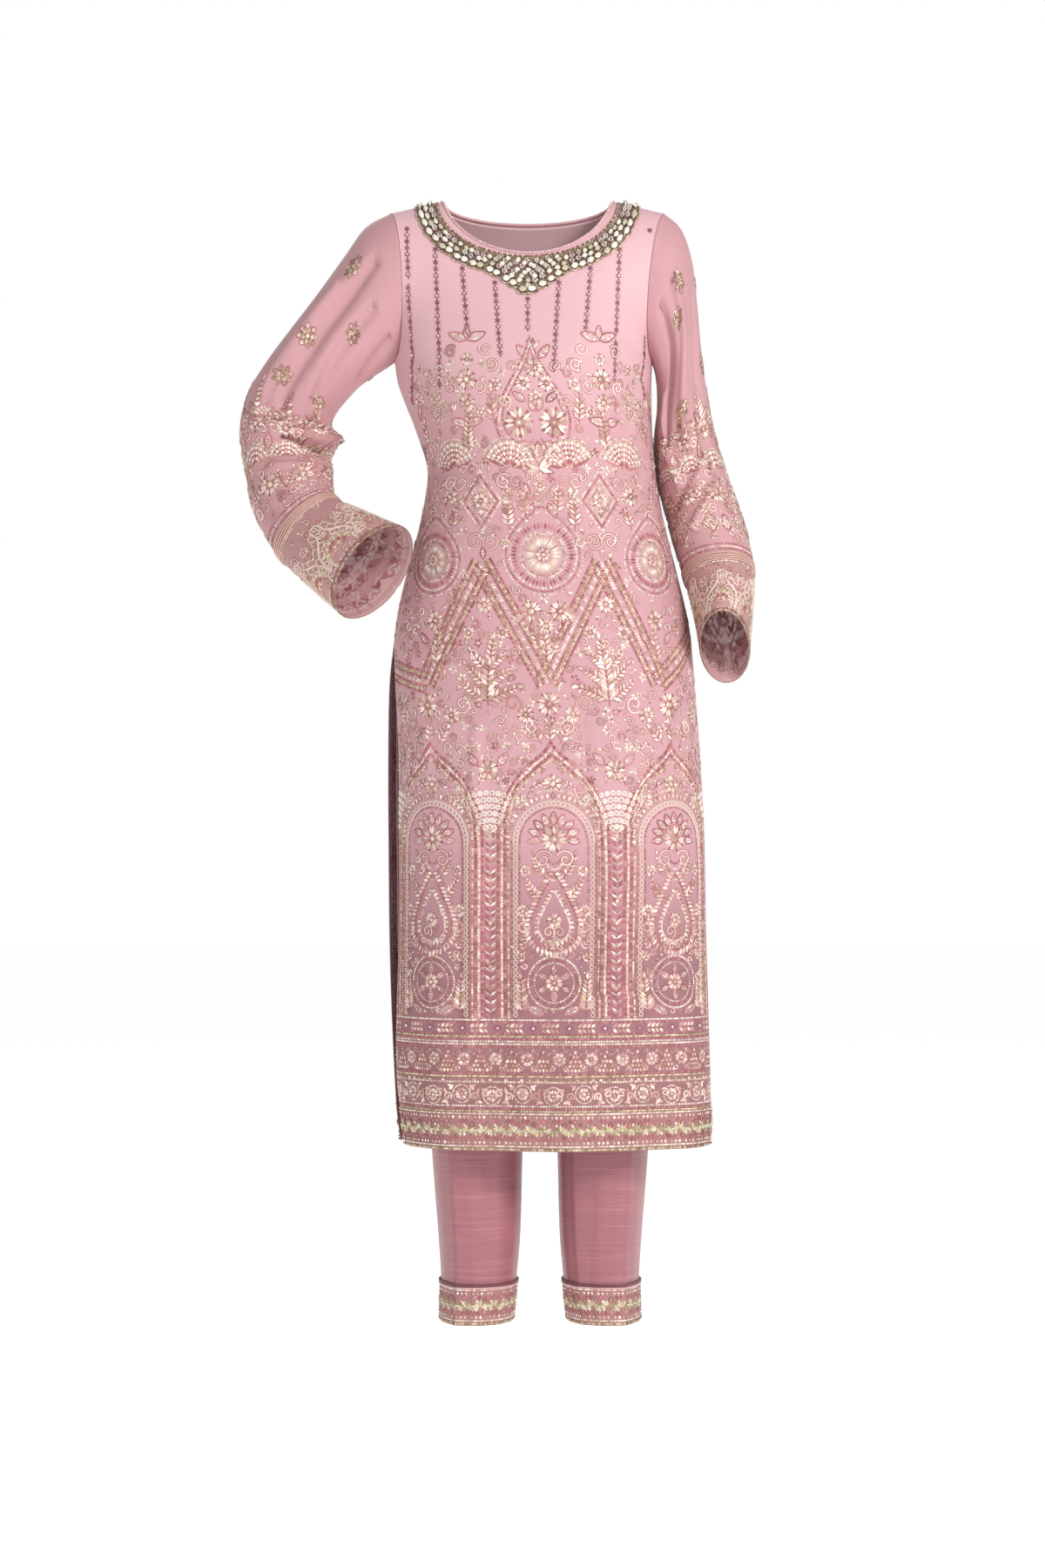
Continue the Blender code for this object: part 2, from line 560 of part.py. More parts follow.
def neck_line(face):
    # The points of the panel's top row that lie on the neckline
    places = columns(face)
    middle = len(places) // 2
    reach = HALF_COLUMNS[face][0]
    return tunic_grid(face)[0][middle - reach:middle + reach + 1]


def build_neck_binding():
    edge = neck_line("front") + neck_line("back")[::-1][1:-1]
    points = [point + (NECK_CENTRE - point).normalized() * (BINDING_RADIUS + 3 * SEAM) for point in edge]
    add_tube("neck_binding", points, "neck_binding", BINDING_RADIUS)


def yoke_at(face, x, z):
    # The yoke's surface under a place seen from the front, its down value kept on the panel
    side = "left" if x > 0 else "right"
    tip = abs(ARMHOLE_X[side][0])
    top = SHOULDER_TIP_Z * max(abs(x) - NECK_HALF, 0.0) / (tip - NECK_HALF)
    down = max((top - z) / (top - ARMPIT_Z), LEAST_DOWN)
    middle = FRONT[0]["middle"] * down
    across = (x - middle) / (abs(armhole_x(side, down) - middle))
    return yoke_point(face, across, down)


def build_neck_band():
    # The stone-set band follows the front neckline and comes to a point in the middle
    panel = sheet_mesh("guide", tunic_grid("front"))
    face_away(panel, body_axis)
    tree = BVHTree.FromPolygons([v.co for v in panel.vertices], [p.vertices[:] for p in panel.polygons])
    bpy.data.meshes.remove(panel)
    grid = []
    for row in range(BAND_ROWS + 1):
        line = []
        for i in range(BAND_COLUMNS + 1):
            angle = math.radians(180 * i / BAND_COLUMNS - 90)
            x, z = NECK_HALF * math.sin(angle), -NECK_DROP["front"] * math.cos(angle)
            normal = Vector((math.sin(angle) / NECK_HALF, 0, -math.cos(angle) / NECK_DROP["front"]))
            normal.normalize()
            point_share = max(1 - abs(x) / NECK_POINT_HALF, 0.0)
            wide = between(NECK_BAND_WIDTH, NECK_POINT_WIDTH, point_share ** NECK_POINT_POWER)
            reach = between(NECK_BAND_INSET, wide, row / BAND_ROWS)
            place = yoke_at("front", x + normal.x * reach, z + normal.z * reach)
            nearest, facing = tree.find_nearest(place)[:2]
            line.append(nearest + facing * (BAND_LIFT + STONE_BAND))
        grid.append(line)
    add_sheet("neck_band", grid, "stone_band", STONE_BAND, body_axis)


# The sleeves, cuffs and braids

def ring_centre(grid):
    centres = [sum(row, Vector()) / len(row) for row in grid]

    def centre(point):
        return min(centres, key=lambda middle: (middle - point).length)
    return centre


def build_sleeves():
    last = len(SLEEVES["right"]) - 1
    seam = CUFF_SECTION
    for side in ("right", "left"):
        places = [*SLEEVE_PLACES, seam - BRAID_HALF, seam - CUFF_GAP]
        grid = sleeve_grid(side, places)
        add_sheet("sleeve_" + side, grid, "sleeve_net", NET, ring_centre(grid), loop=True)
        cuff_places = [seam + CUFF_GAP, seam + BRAID_HALF, seam + 1, last - 0.5, last]
        grid = sleeve_grid(side, cuff_places)
        add_sheet("cuff_" + side, grid, "cuff_organza", NET, ring_centre(grid), loop=True)
        grid = sleeve_grid(side, [seam - BRAID_HALF, seam, seam + BRAID_HALF], LAY + TRIM)
        add_sheet("cuff_braid_" + side, grid, "gold_braid", TRIM, ring_centre(grid), loop=True)


# The trousers

def build_trousers():
    for side in ("right", "left"):
        sign = 1 if side == "left" else -1
        middle = TROUSER_MIDDLE_X + sign * LEG_MIDDLE

        def leg_axis(point, middle=middle):
            return Vector((middle, 0, point.z))

        for face in ("front", "back"):
            add_sheet("trouser_" + face + "_" + side, trouser_grid(side, face), "raw_silk", SILK, leg_axis)
        rows = [LEG_BORDER_TOP_Z, LEG_HEM_Z]
        grid = [leg_loop(side, z, LAY + TRIM) for z in rows]
        add_sheet("leg_border_" + side, grid, "embroidered_border", TRIM, leg_axis, loop=True)
        ring = leg_loop(side, LEG_BORDER_TOP_Z + PIPING_RADIUS + LAY, PIPING_RADIUS * 1.5)
        add_tube("leg_piping_" + side, ring, "dark_piping", PIPING_RADIUS)


def build_waistband():
    grid = []
    for z in (WAISTBAND_TOP_Z, between(WAISTBAND_TOP_Z, WAISTBAND_LOW_Z, 0.5), WAISTBAND_LOW_Z + SEAM):
        row = []
        for i in range(WAIST_SIDES):
            angle = 2 * math.pi * i / WAIST_SIDES
            depth = LEG[0]["back"] if math.sin(angle) > 0 else LEG[0]["front"]
            row.append(Vector((TROUSER_MIDDLE_X + LEG[0]["out"] * math.cos(angle), depth * math.sin(angle), z)))
        grid.append(row)
    add_sheet("waistband", grid, "raw_silk", ELASTIC, ring_centre(grid), loop=True)


for leftover in list(bpy.data.objects):
    bpy.data.objects.remove(leftover, do_unlink=True)

collection = bpy.data.collections.new("salwar_kameez_suit")
bpy.context.scene.collection.children.link(collection)
materials = {slot: new_material(slot) for slot in CLOTHS}

build_tunic()
build_neck_band()
build_neck_binding()
build_sleeves()
build_trousers()
build_waistband()
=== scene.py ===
from math import atan2, cos, degrees, hypot, pi, radians, sin
import bpy
import numpy as np
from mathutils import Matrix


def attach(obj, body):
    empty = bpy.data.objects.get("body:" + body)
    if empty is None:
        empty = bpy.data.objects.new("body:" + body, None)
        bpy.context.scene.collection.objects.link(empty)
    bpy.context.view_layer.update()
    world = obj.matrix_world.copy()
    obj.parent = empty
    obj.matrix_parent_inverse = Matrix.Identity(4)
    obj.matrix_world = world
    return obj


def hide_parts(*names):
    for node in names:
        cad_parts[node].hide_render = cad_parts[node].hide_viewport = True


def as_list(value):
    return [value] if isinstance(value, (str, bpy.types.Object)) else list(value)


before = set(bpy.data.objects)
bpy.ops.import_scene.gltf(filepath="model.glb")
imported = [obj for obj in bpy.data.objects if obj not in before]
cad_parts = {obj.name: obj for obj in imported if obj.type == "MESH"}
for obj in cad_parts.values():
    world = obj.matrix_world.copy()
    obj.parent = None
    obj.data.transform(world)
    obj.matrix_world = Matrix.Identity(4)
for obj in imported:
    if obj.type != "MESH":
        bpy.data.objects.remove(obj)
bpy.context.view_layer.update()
chance = np.random.default_rng(41)

# Salwar kameez: net tunic with lining, two net sleeves with organza cuffs, raw silk trousers.
# Metres, the front faces -Y and the wearer's left is +X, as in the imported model.


# camera, floor and light

studio = {
  "distance": 4.5, "height": -.681, "side": -.006, "lens": 88.2, "floor": -1.47,
  "shown": 1.0, "soft": .4, "key": 108.0, "fill": 14.0, "rim": 14.0,
}


def buildStudio():
  scene = bpy.context.scene
  scene.view_settings.view_transform = "Standard"
  camera = bpy.data.objects.new("camera", bpy.data.cameras.new("camera"))
  camera.data.lens = studio["lens"]
  camera.data.sensor_width = 36
  camera.location = (studio["side"], -studio["distance"], studio["height"])
  camera.rotation_euler = (pi / 2, 0, 0)
  scene.collection.objects.link(camera)
  scene.camera = camera
  # the backdrop is seen white, yet lights the cloth only softly, so folds keep their shade
  world = bpy.data.worlds.new("studio")
  world.use_nodes = True
  nodes = world.node_tree.nodes
  seen = nodes.new("ShaderNodeLightPath")
  share = nodes.new("ShaderNodeMath")
  share.operation = "MULTIPLY_ADD"
  share.inputs[1].default_value = studio["shown"] - studio["soft"]
  share.inputs[2].default_value = studio["soft"]
  world.node_tree.links.new(seen.outputs["Is Camera Ray"], share.inputs[0])
  world.node_tree.links.new(share.outputs[0], nodes["Background"].inputs["Strength"])
  nodes["Background"].inputs["Color"].default_value = (1, 1, 1, 1)
  scene.world = world
  for name, place, size, watts in (("key", (2.1, -3.0, 1.3), 1.1, studio["key"]),
      ("fill", (-2.6, -3.0, .2), 2.0, studio["fill"]), ("rim", (-1.0, 2.6, 1.6), 1.2, studio["rim"])):
    lamp = bpy.data.lights.new(name, "AREA")
    lamp.size = size
    lamp.energy = watts
    light = bpy.data.objects.new(name, lamp)
    light.location = place
    aim = np.array((0.0, 0.0, -.55)) - np.array(place)
    light.rotation_euler = (atan2(hypot(aim[0], aim[1]), -aim[2]), 0, atan2(aim[1], aim[0]) - pi / 2)
    scene.collection.objects.link(light)
  mesh = bpy.data.meshes.new("floor")
  reach = 14.0
  mesh.from_pydata([(-reach, -reach, 0), (reach, -reach, 0), (reach, reach, 0), (-reach, reach, 0)], [],
    [(0, 1, 2, 3)])
  floor = bpy.data.objects.new("floor", mesh)
  floor.location.z = studio["floor"]
  scene.collection.objects.link(floor)
  paper = bpy.data.materials.new("paper")
  paper.use_nodes = True
  shader = paper.node_tree.nodes["Principled BSDF"]
  shader.inputs["Base Color"].default_value = (.8, .8, .8, 1)
  shader.inputs["Roughness"].default_value = .9
  shader.inputs["Specular IOR Level"].default_value = 0.0
  shader.inputs["Emission Color"].default_value = (1, 1, 1, 1)
  shader.inputs["Emission Strength"].default_value = .66
  mesh.materials.append(paper)


# shader maths

class Wire:
  # one output socket; arithmetic on it adds Math nodes
  def __init__(self, kit, socket):
    self.kit, self.socket = kit, socket

  def maths(self, operation, left, right):
    return self.kit.node("Math", {"operation": operation}, {0: left, 1: right})

  def __add__(self, other):
    return self.maths("ADD", self, other)

  def __mul__(self, other):
    return self.maths("MULTIPLY", self, other)


class Finish:
  # one material and its nodes
  def __init__(self, name, **constants):
    self.material = bpy.data.materials.new(name)
    self.material.use_nodes = True
    self.tree = self.material.node_tree
    self.shader = self.tree.nodes["Principled BSDF"]
    for socket, value in constants.items():
      self.shader.inputs[socket.replace("_", " ")].default_value = value

  def node(self, kind, settings=None, inputs=None, output=0):
    made = self.tree.nodes.new("ShaderNode" + kind)
    for name, value in (settings or {}).items():
      if name == "stops":
        self.setStops(made.color_ramp, value)
      else:
        setattr(made, name, value)
    for name, value in (inputs or {}).items():
      socket = made.inputs[name]
      if isinstance(value, Wire):
        self.tree.links.new(value.socket, socket)
      elif isinstance(value, tuple) and len(value) == 3 and socket.type == "RGBA":
        socket.default_value = (*value, 1)
      else:
        socket.default_value = value
    return Wire(self, made.outputs[output])

  def setStops(self, ramp, stops):
    while len(ramp.elements) < len(stops):
      ramp.elements.new(.5)
    for element, (place, colour) in zip(ramp.elements, stops):
      element.position = place
      element.color = (*colour, 1)

  def mix(self, share, low, high, how="MIX"):
    return self.node("Mix", {"data_type": "RGBA", "blend_type": how}, {0: share, 6: low, 7: high}, output=2)

  def place(self):
    return self.node("TexCoord", output="Object")

  def stretched(self, vector, scale):
    return self.node("Mapping", None, {"Vector": vector, "Scale": scale})

  def noise(self, vector, scale, detail=2.0, rough=.5):
    return self.node("TexNoise", None, {"Vector": vector, "Scale": scale, "Detail": detail,
      "Roughness": rough}, output="Fac")

  def feed(self, socket, wire):
    self.tree.links.new(wire.socket, self.shader.inputs[socket])

  def bump(self, height, strength, distance):
    self.feed("Normal", self.node("Bump", None, {"Height": height, "Strength": strength,
      "Distance": distance}))


def tone(colour, factor):
  return tuple(min(part * factor, 1.0) for part in colour)


# smooth curves

def smoothCurve(knots, values, at):
  knots, values = np.asarray(knots, float), np.asarray(values, float)
  gaps = np.diff(knots)
  slopes = np.empty(len(knots))
  slopes[0] = (values[1] - values[0]) / gaps[0]
  slopes[-1] = (values[-1] - values[-2]) / gaps[-1]
  slopes[1:-1] = (values[2:] - values[:-2]) / (gaps[:-1] + gaps[1:])
  at = np.clip(at, knots[0], knots[-1])
  low = np.clip(np.searchsorted(knots, at, side="right") - 1, 0, len(knots) - 2)
  gap = gaps[low]
  t = (at - knots[low]) / gap
  return ((2 * t ** 3 - 3 * t ** 2 + 1) * values[low] + (t ** 3 - 2 * t ** 2 + t) * gap * slopes[low]
    + (3 * t ** 2 - 2 * t ** 3) * values[low + 1] + (t ** 3 - t ** 2) * gap * slopes[low + 1])


def softStep(low, high, value):
  share = np.clip((value - low) / (high - low), 0.0, 1.0)
  return share * share * (3 - 2 * share)


def softBump(distance, half):
  near = np.abs(distance) < half
  return np.where(near, np.cos(.5 * pi * distance / half) ** 2, 0.0)


def lerp(low, high, share):
  return low + (high - low) * share


def unit(vectors):
  return vectors / np.linalg.norm(vectors, axis=1, keepdims=True)


def raised(here, normal, high):
  # points moved off the cloth along its normals
  return here + normal / (np.linalg.norm(normal, axis=1, keepdims=True) + 1e-12) * high[:, None]


def foldAlong(x, z, folds):
  # folds: start x, z, end x, z, half width, rise; narrower towards both ends
  total = 0.0
  for x0, z0, x1, z1, half, rise in folds:
    dx, dz = x1 - x0, z1 - z0
    along = np.clip(((x - x0) * dx + (z - z0) * dz) / (dx * dx + dz * dz), 0, 1)
    away = np.hypot(x - x0 - along * dx, z - z0 - along * dz)
    total = total + rise * softBump(away, half * (.45 + .55 * np.sin(pi * along)))
  return total


# the tunic's surface

tunic = {
  "thickness": .0008, "step": .0046, "creaseDepth": 1.6, "armpit": -.186, "slitTop": -.51, "hem": -1.1,
  "borderTop": -1.0565, "liningHem": -1.035,
  "neckHalf": .102, "shoulderTip": -.013, "armholeDepth": .05, "armholeScoop": .013,
  "armholeTop": (-.161, .16), "armholeLow": (-.156, .146),
  "front": {
    "sign": -1, "neckDrop": .0685, "neckFill": .62,
    # rows and creases in mm
    "rows": [  # z, right side, middle, left side, depth of the middle, depth of the sides
      (-186, -156, 6, 146, -112, -.3), (-215, -151, 7, 145, -119, -.3),
      (-245, -139, 9, 145, -121, -.3), (-270, -130, 10, 146, -115, -.3),
      (-295, -120, 12, 148, -106, -.3), (-318, -117, 13, 150, -100, -.3),
      (-345, -120, 14, 153, -98, -.3), (-380, -127, 16, 161, -101, -.3),
      (-435, -142, 18, 175, -108, -.3), (-480, -152, 20, 186, -113, -.3),
      (-510, -156, 21, 191, -116, -.3), (-560, -155, 22.5, 195, -119, -6),
      (-640, -151, 26.5, 201, -120, -14), (-740, -150, 30, 206, -120, -20),
      (-850, -150, 30, 208, -118, -22), (-950, -153, 30, 211, -117, -22),
      (-1020, -153, 30, 213, -117, -21), (-1056.5, -149, 30, 214, -118, -20),
      (-1100, -143, 30, 213, -119, -19)],
    "folds": [(-.72, .62, .006, .2), (-.37, .7, -.0045, .22), (.1, .58, .005, .24),
         (.6, .66, -.005, .22), (.88, .8, .005, .14)],
    "creases": [(142, -192, 100, -262, 12, -4.5), (149, -206, 120, -282, 10, 3.5),
          (143, -178, 104, -168, 11, -3.5), (-150, -192, -112, -250, 12, -3.5),
          (-120, -318, -60, -334, 12, -3), (150, -315, 96, -332, 12, -3.2),
          (153, -345, 86, -372, 13, 2.6), (-122, -345, -70, -366, 13, 2.4),
          (-148, -500, -115, -660, 16, 3), (188, -500, 150, -680, 16, 3),
          (60, -600, 75, -920, 20, -2.6), (-60, -620, -68, -980, 20, 2.2)],
  },
  "back": {
    "sign": 1, "neckDrop": .022, "neckFill": .42,
    "rows": [
      (-186, -156, 6, 146, 98, .3), (-215, -151, 7, 145, 97, .3),
      (-270, -130, 10, 146, 86, .3), (-318, -117, 13, 150, 77, .3),
      (-380, -127, 16, 161, 86, .3), (-435, -142, 18, 175, 104, .3),
      (-480, -152, 20, 186, 117, .3), (-510, -156, 21, 191, 122, .3),
      (-560, -162, 22.5, 193, 126, 8), (-640, -164, 26.5, 197, 126, 16),
      (-740, -164, 30, 201, 121, 22), (-900, -162, 30, 205, 114, 25),
      (-1056.5, -155, 30, 209, 111, 24), (-1100, -150, 30, 210, 111, 23)],
    "folds": [(-.55, .6, .008, .25), (0.0, .66, -.007, .28), (.52, .62, .007, .25)],
    "creases": [(142, -192, 100, -262, 12, -4), (-150, -192, -112, -250, 12, -4),
          (-120, -318, -50, -340, 13, -3.4), (150, -315, 80, -336, 13, -3.4),
          (-110, -360, 0, -385, 14, 2.8), (146, -352, 50, -392, 14, 2.8),
          (-100, -580, -108, -950, 20, -3), (130, -600, 140, -1000, 20, 2.8)],
  },
}


def armholeX(across, down):
  left = across > 0
  top = np.where(left, tunic["armholeTop"][1], tunic["armholeTop"][0])
  low = np.where(left, tunic["armholeLow"][1], tunic["armholeLow"][0])
  bow = 2 * np.sqrt(np.clip(down * (1 - down), 0, None))
  return lerp(top, low, down) - np.where(left, 1, -1) * tunic["armholeScoop"] * bow


def shoulderHeight(across):
  tip = np.where(across > 0, tunic["armholeTop"][1], -tunic["armholeTop"][0])
  return tunic["shoulderTip"] * np.clip(np.abs(across) * tip - tunic["neckHalf"], 0, None) / (
    tip - tunic["neckHalf"])


def tunicPoints(face, across, z):
  # the outer side of the net; across runs from -1 at the right side to 1 at the left
  cut = tunic[face]
  sign, armpit = cut["sign"], tunic["armpit"]
  rows = np.array(cut["rows"]) / 1000
  read = {name: smoothCurve(-rows[:, 0], rows[:, i + 1], -z)
    for i, name in enumerate(("right", "middle", "left", "depth", "edge"))}
  share = np.clip(1 - np.abs(across) ** 2.4, 0, None)
  x = lerp(read["middle"], np.where(across > 0, read["left"], read["right"]), np.abs(across))
  edge = np.where(z < tunic["slitTop"], read["edge"], rows[0, 5])
  y = lerp(edge, read["depth"], share ** .55)
  for at, start, rise, half in cut["folds"]:
    y = y + sign * rise * softStep(start, 1.1, -z) * softBump(across - at, half)
  top = shoulderHeight(across)
  down = np.clip((top - z) / (top - armpit), 0, 1)
  middle = rows[0, 2] * down
  yokeX = middle + np.abs(across) * (armholeX(across, down) - middle)
  stand = lerp(.0009, .0003, down)
  bow = 2 * np.sqrt(np.clip(down * (1 - down), 0, None))
  yokeEdge = sign * (stand + tunic["armholeDepth"] * bow)
  centre = sign * stand + rows[0, 4] * down ** cut["neckFill"]
  yokeY = lerp(yokeEdge, centre, share ** lerp(1.0, .55, softStep(.5, 1.0, down)))
  above = z > armpit
  x, y = np.where(above, yokeX, x), np.where(above, yokeY, y)
  calm = softStep(0.0, .12, 1 - np.abs(across)) * softStep(-1.09, -1.04, z)
  ripple = .0007 * np.sin(95 * x + 7 * np.sin(9 * z)) * softStep(.25, .7, -z)
  y = y + sign * calm * (tunic["creaseDepth"] * foldAlong(x, z, np.array(cut["creases"]) / 1000) + ripple)
  return np.stack([x, y, z + 0 * x], axis=-1)


def neckAcross(side):
  return tunic["neckHalf"] / abs(tunic["armholeTop"][1 if side > 0 else 0])


def neckDown(face, across):
  reach = np.where(across > 0, neckAcross(1), neckAcross(-1))
  share = np.clip(np.abs(across) / reach, 0, 1)
  return tunic[face]["neckDrop"] / -tunic["armpit"] * np.sqrt(1 - share * share)


def panelGrid(face, step, hem, reach=1.0):
  # rows of points from the neckline and shoulders down to the hem
  columns = int(.36 / step)
  half = []
  for side in (-1, 1):
    inner = np.sin(.5 * pi * np.linspace(0, 1, columns // 3)[1:]) * neckAcross(side)
    outer = lerp(neckAcross(side), 1.0, np.sin(.5 * pi * np.linspace(0, 1, columns // 4)[1:]))
    half.append(side * np.concatenate([inner, outer]))
  across = np.concatenate([half[0][::-1], [0.0], half[1]]) * reach
  start = neckDown(face, across)
  yoke = []
  for share in np.linspace(0, 1, int(.186 / step)) ** 1.6:
    top = shoulderHeight(across)
    yoke.append(tunicPoints(face, across, lerp(top, tunic["armpit"], lerp(start, 1.0, share))))
  heights = np.linspace(tunic["armpit"], hem, int((tunic["armpit"] - hem) / step))[1:]
  skirt = [tunicPoints(face, across, np.full(len(across), z)) for z in heights]
  return np.array(yoke + skirt)


class FlatPanel:
  # a front or back panel laid flat: x is measured along the cloth from its middle, z is its height
  def __init__(self, face):
    self.face = face
    self.heights = np.linspace(-.004, tunic["hem"], 220)
    across = np.linspace(-1, 1, 161)
    self.spread = np.linspace(-.32, .32, 257)
    self.inverse = np.empty((len(self.heights), len(self.spread)))
    self.arcs = np.empty((len(self.heights), len(across)))
    for row, z in enumerate(self.heights):
      points = tunicPoints(face, across, np.full(len(across), z))
      steps = np.hypot(np.diff(points[:, 0]), np.diff(points[:, 1]))
      arc = np.concatenate([[0], np.cumsum(steps)])
      self.arcs[row] = arc - arc[80]
      self.inverse[row] = np.interp(self.spread, self.arcs[row], across)
    self.across = across

  def rowOf(self, z):
    place = np.clip((self.heights[0] - z) / (self.heights[0] - self.heights[-1]), 0, 1) * (
      len(self.heights) - 1)
    low = np.minimum(place.astype(int), len(self.heights) - 2)
    return low, place - low

  def acrossAt(self, x, z):
    low, part = self.rowOf(z)
    column = np.clip((x - self.spread[0]) / (self.spread[1] - self.spread[0]), 0, len(self.spread) - 1.001)
    left = column.astype(int)
    share = column - left
    upper = lerp(self.inverse[low, left], self.inverse[low, left + 1], share)
    lower = lerp(self.inverse[low + 1, left], self.inverse[low + 1, left + 1], share)
    return lerp(upper, lower, part)

  def halfWidth(self, z, side):
    low, part = self.rowOf(np.array([z]))
    return abs(self.arcs[low[0], -1 if side > 0 else 0])

  def flat(self, x, z):
    # where on the flat panel a place seen from the front lies
    points = tunicPoints(self.face, self.across, np.full(len(self.across), z))
    low, part = self.rowOf(np.array([z]))
    return float(np.interp(x, points[:, 0], self.arcs[low[0]]))

  def lift(self, x, z, high):
    across = self.acrossAt(x, z)
    sign = tunic[self.face]["sign"]
    here = tunicPoints(self.face, across, z)
    aside = tunicPoints(self.face, np.clip(across + .004, -1, 1), z)
    back = tunicPoints(self.face, np.clip(across - .004, -1, 1), z)
    below = tunicPoints(self.face, across, z - .0008)
    normal = np.cross(aside - back, below - here) * -sign
    normal *= np.sign(normal[:, 1:2] * sign + 1e-12)
    return raised(here, normal, high)


# the sleeves' and trousers' surfaces

sleeves = {
  "thickness": .0008, "creaseDepth": 1.9, "scoops": (.013, .009, .004),
  "right": {
    "sections": [  # in mm: outer x, z, inner x, z, middle y, half depth; then tilt in degrees
      (-161, -13, -156, -186, 0, 50, 0), (-190, -29, -165, -193, 2, 53, 0),
      (-216, -64, -181, -203, 5, 54, 0), (-246, -105, -198, -215, 10, 53, 0),
      (-276, -143, -211, -228, 16, 52, 0), (-306, -182, -224, -243, 22, 52, 2),
      (-330, -222, -231, -258, 27, 51, 5), (-339, -268, -226, -277, 29, 50, 9),
      (-332, -317, -229, -303, 20, 48, 14), (-320, -366, -229, -328, 2, 46, 18),
      (-288, -419, -223, -348, -24, 46, 22), (-253, -452, -184, -368, -52, 50, 27),
      (-214, -486, -141, -388, -78, 56, 33)],
    "folds": [(7.0, 150, .006, .7, 60), (7.75, 150, -.01, .5, 70), (2.5, 70, -.004, 2.0, 26),
         (4.5, 110, .004, 2.0, 26)],
    "creases": [(1.0, 62, 6.2, 84, .3, -.0048), (1.4, 96, 5.6, 120, .26, -.004),
          (2.4, 45, 6.6, 52, .26, .0035), (.8, 130, 3.0, 158, .22, -.0035),
          (7.3, 85, 7.8, 165, .2, -.0075), (7.0, 60, 6.7, 130, .26, .005),
          (8.2, 70, 8.6, 150, .2, .0038), (6.5, 120, 7.1, 175, .2, .003),
          (1.5, 215, 6.0, 240, .3, -.004), (2.5, 270, 6.5, 285, .3, .004)],
  },
  "left": {
    "sections": [
      (160, -13, 146, -186, 0, 50, 0), (180, -31, 149.5, -194, 2, 53, 0),
      (193, -67, 151, -205, 6, 55, 0), (199, -115, 152, -220, 11, 56, 0),
      (204, -166, 152, -243, 16, 56, 2), (210, -212, 149, -272, 20, 56, 4),
      (218, -258, 150, -303, 23, 56, 6), (231, -304, 153, -331, 22, 55, 9),
      (246, -350, 161, -361, 14, 53, 13), (258, -390, 171, -398, 2, 51, 17),
      (264, -432, 183, -440, -14, 50, 22), (262, -474, 194, -484, -32, 54, 31),
      (256, -516, 201, -529, -50, 62, 41)],
    "folds": [(3.0, 120, -.005, 2.5, 26), (5.0, 80, .004, 2.5, 26), (8.2, 150, -.005, .8, 50)],
    "creases": [(1.0, 100, 6.0, 122, .24, -.004), (1.5, 70, 6.5, 88, .26, .0036),
          (2.6, 40, 7.4, 56, .26, -.0034), (3.8, 135, 7.6, 118, .24, .003),
          (6.6, 60, 8.2, 140, .2, -.0032), (7.6, 55, 9.0, 120, .2, .003),
          (1.5, 215, 6.5, 240, .28, -.004), (2.5, 270, 7.5, 290, .28, .0036)],
  },
}


def sleeveTable(side):
  table = np.array(sleeves[side]["sections"], float)
  table[:, :6] /= 1000
  return table


def sleevePoints(side, place, turn, proud=0.0):
  # turn is in degrees: 0 at the outer side, 90 at the back, 270 at the front
  cut = sleeves[side]
  table = sleeveTable(side)
  knots = np.arange(len(table))
  place, turn = np.broadcast_arrays(np.asarray(place, float), np.asarray(turn, float))
  outerX, outerZ, innerX, innerZ, midY, deep, tilt = (smoothCurve(knots, table[:, i], place)
    for i in range(7))
  scoops = np.zeros(len(table))
  scoops[:3] = sleeves["scoops"]
  scoop = smoothCurve(knots, scoops, place)
  sign = 1 if side == "right" else -1
  wideX, wideZ = (outerX - innerX) / 2, (outerZ - innerZ) / 2
  wide = np.hypot(wideX, wideZ)
  unitX, unitZ = wideX / wide, wideZ / wide
  alongX, alongZ = -sign * unitZ, sign * unitX
  lean = np.radians(tilt)
  grow = proud + 0 * place
  front = 360 - turn
  for section, at, rise, along, around in cut["folds"]:
    swing = (front - at + 180) % 360 - 180
    grow = grow + rise * softBump(place - section, along) * softBump(swing, around)
  for p0, t0, p1, t1, half, rise in cut["creases"]:
    middle = (t0 + t1) / 2
    swing = (front - middle + 180) % 360 - 180 + middle
    grow = grow + foldAlong(place, swing / 60, [(p0, t0 / 60, p1, t1 / 60, half,
      sleeves["creaseDepth"] * rise)])
  angle = np.radians(turn)
  x = (outerX + innerX) / 2 + unitX * (wide + grow) * np.cos(angle)
  z = (outerZ + innerZ) / 2 + unitZ * (wide + grow) * np.cos(angle)
  reach = (deep + grow) * np.sin(angle)
  x = x + np.sin(lean) * alongX * reach + sign * (scoop * np.abs(np.sin(angle)) + .0002)
  z = z + np.sin(lean) * alongZ * reach
  y = midY + np.cos(lean) * reach
  return np.stack([x, y, z], axis=-1)


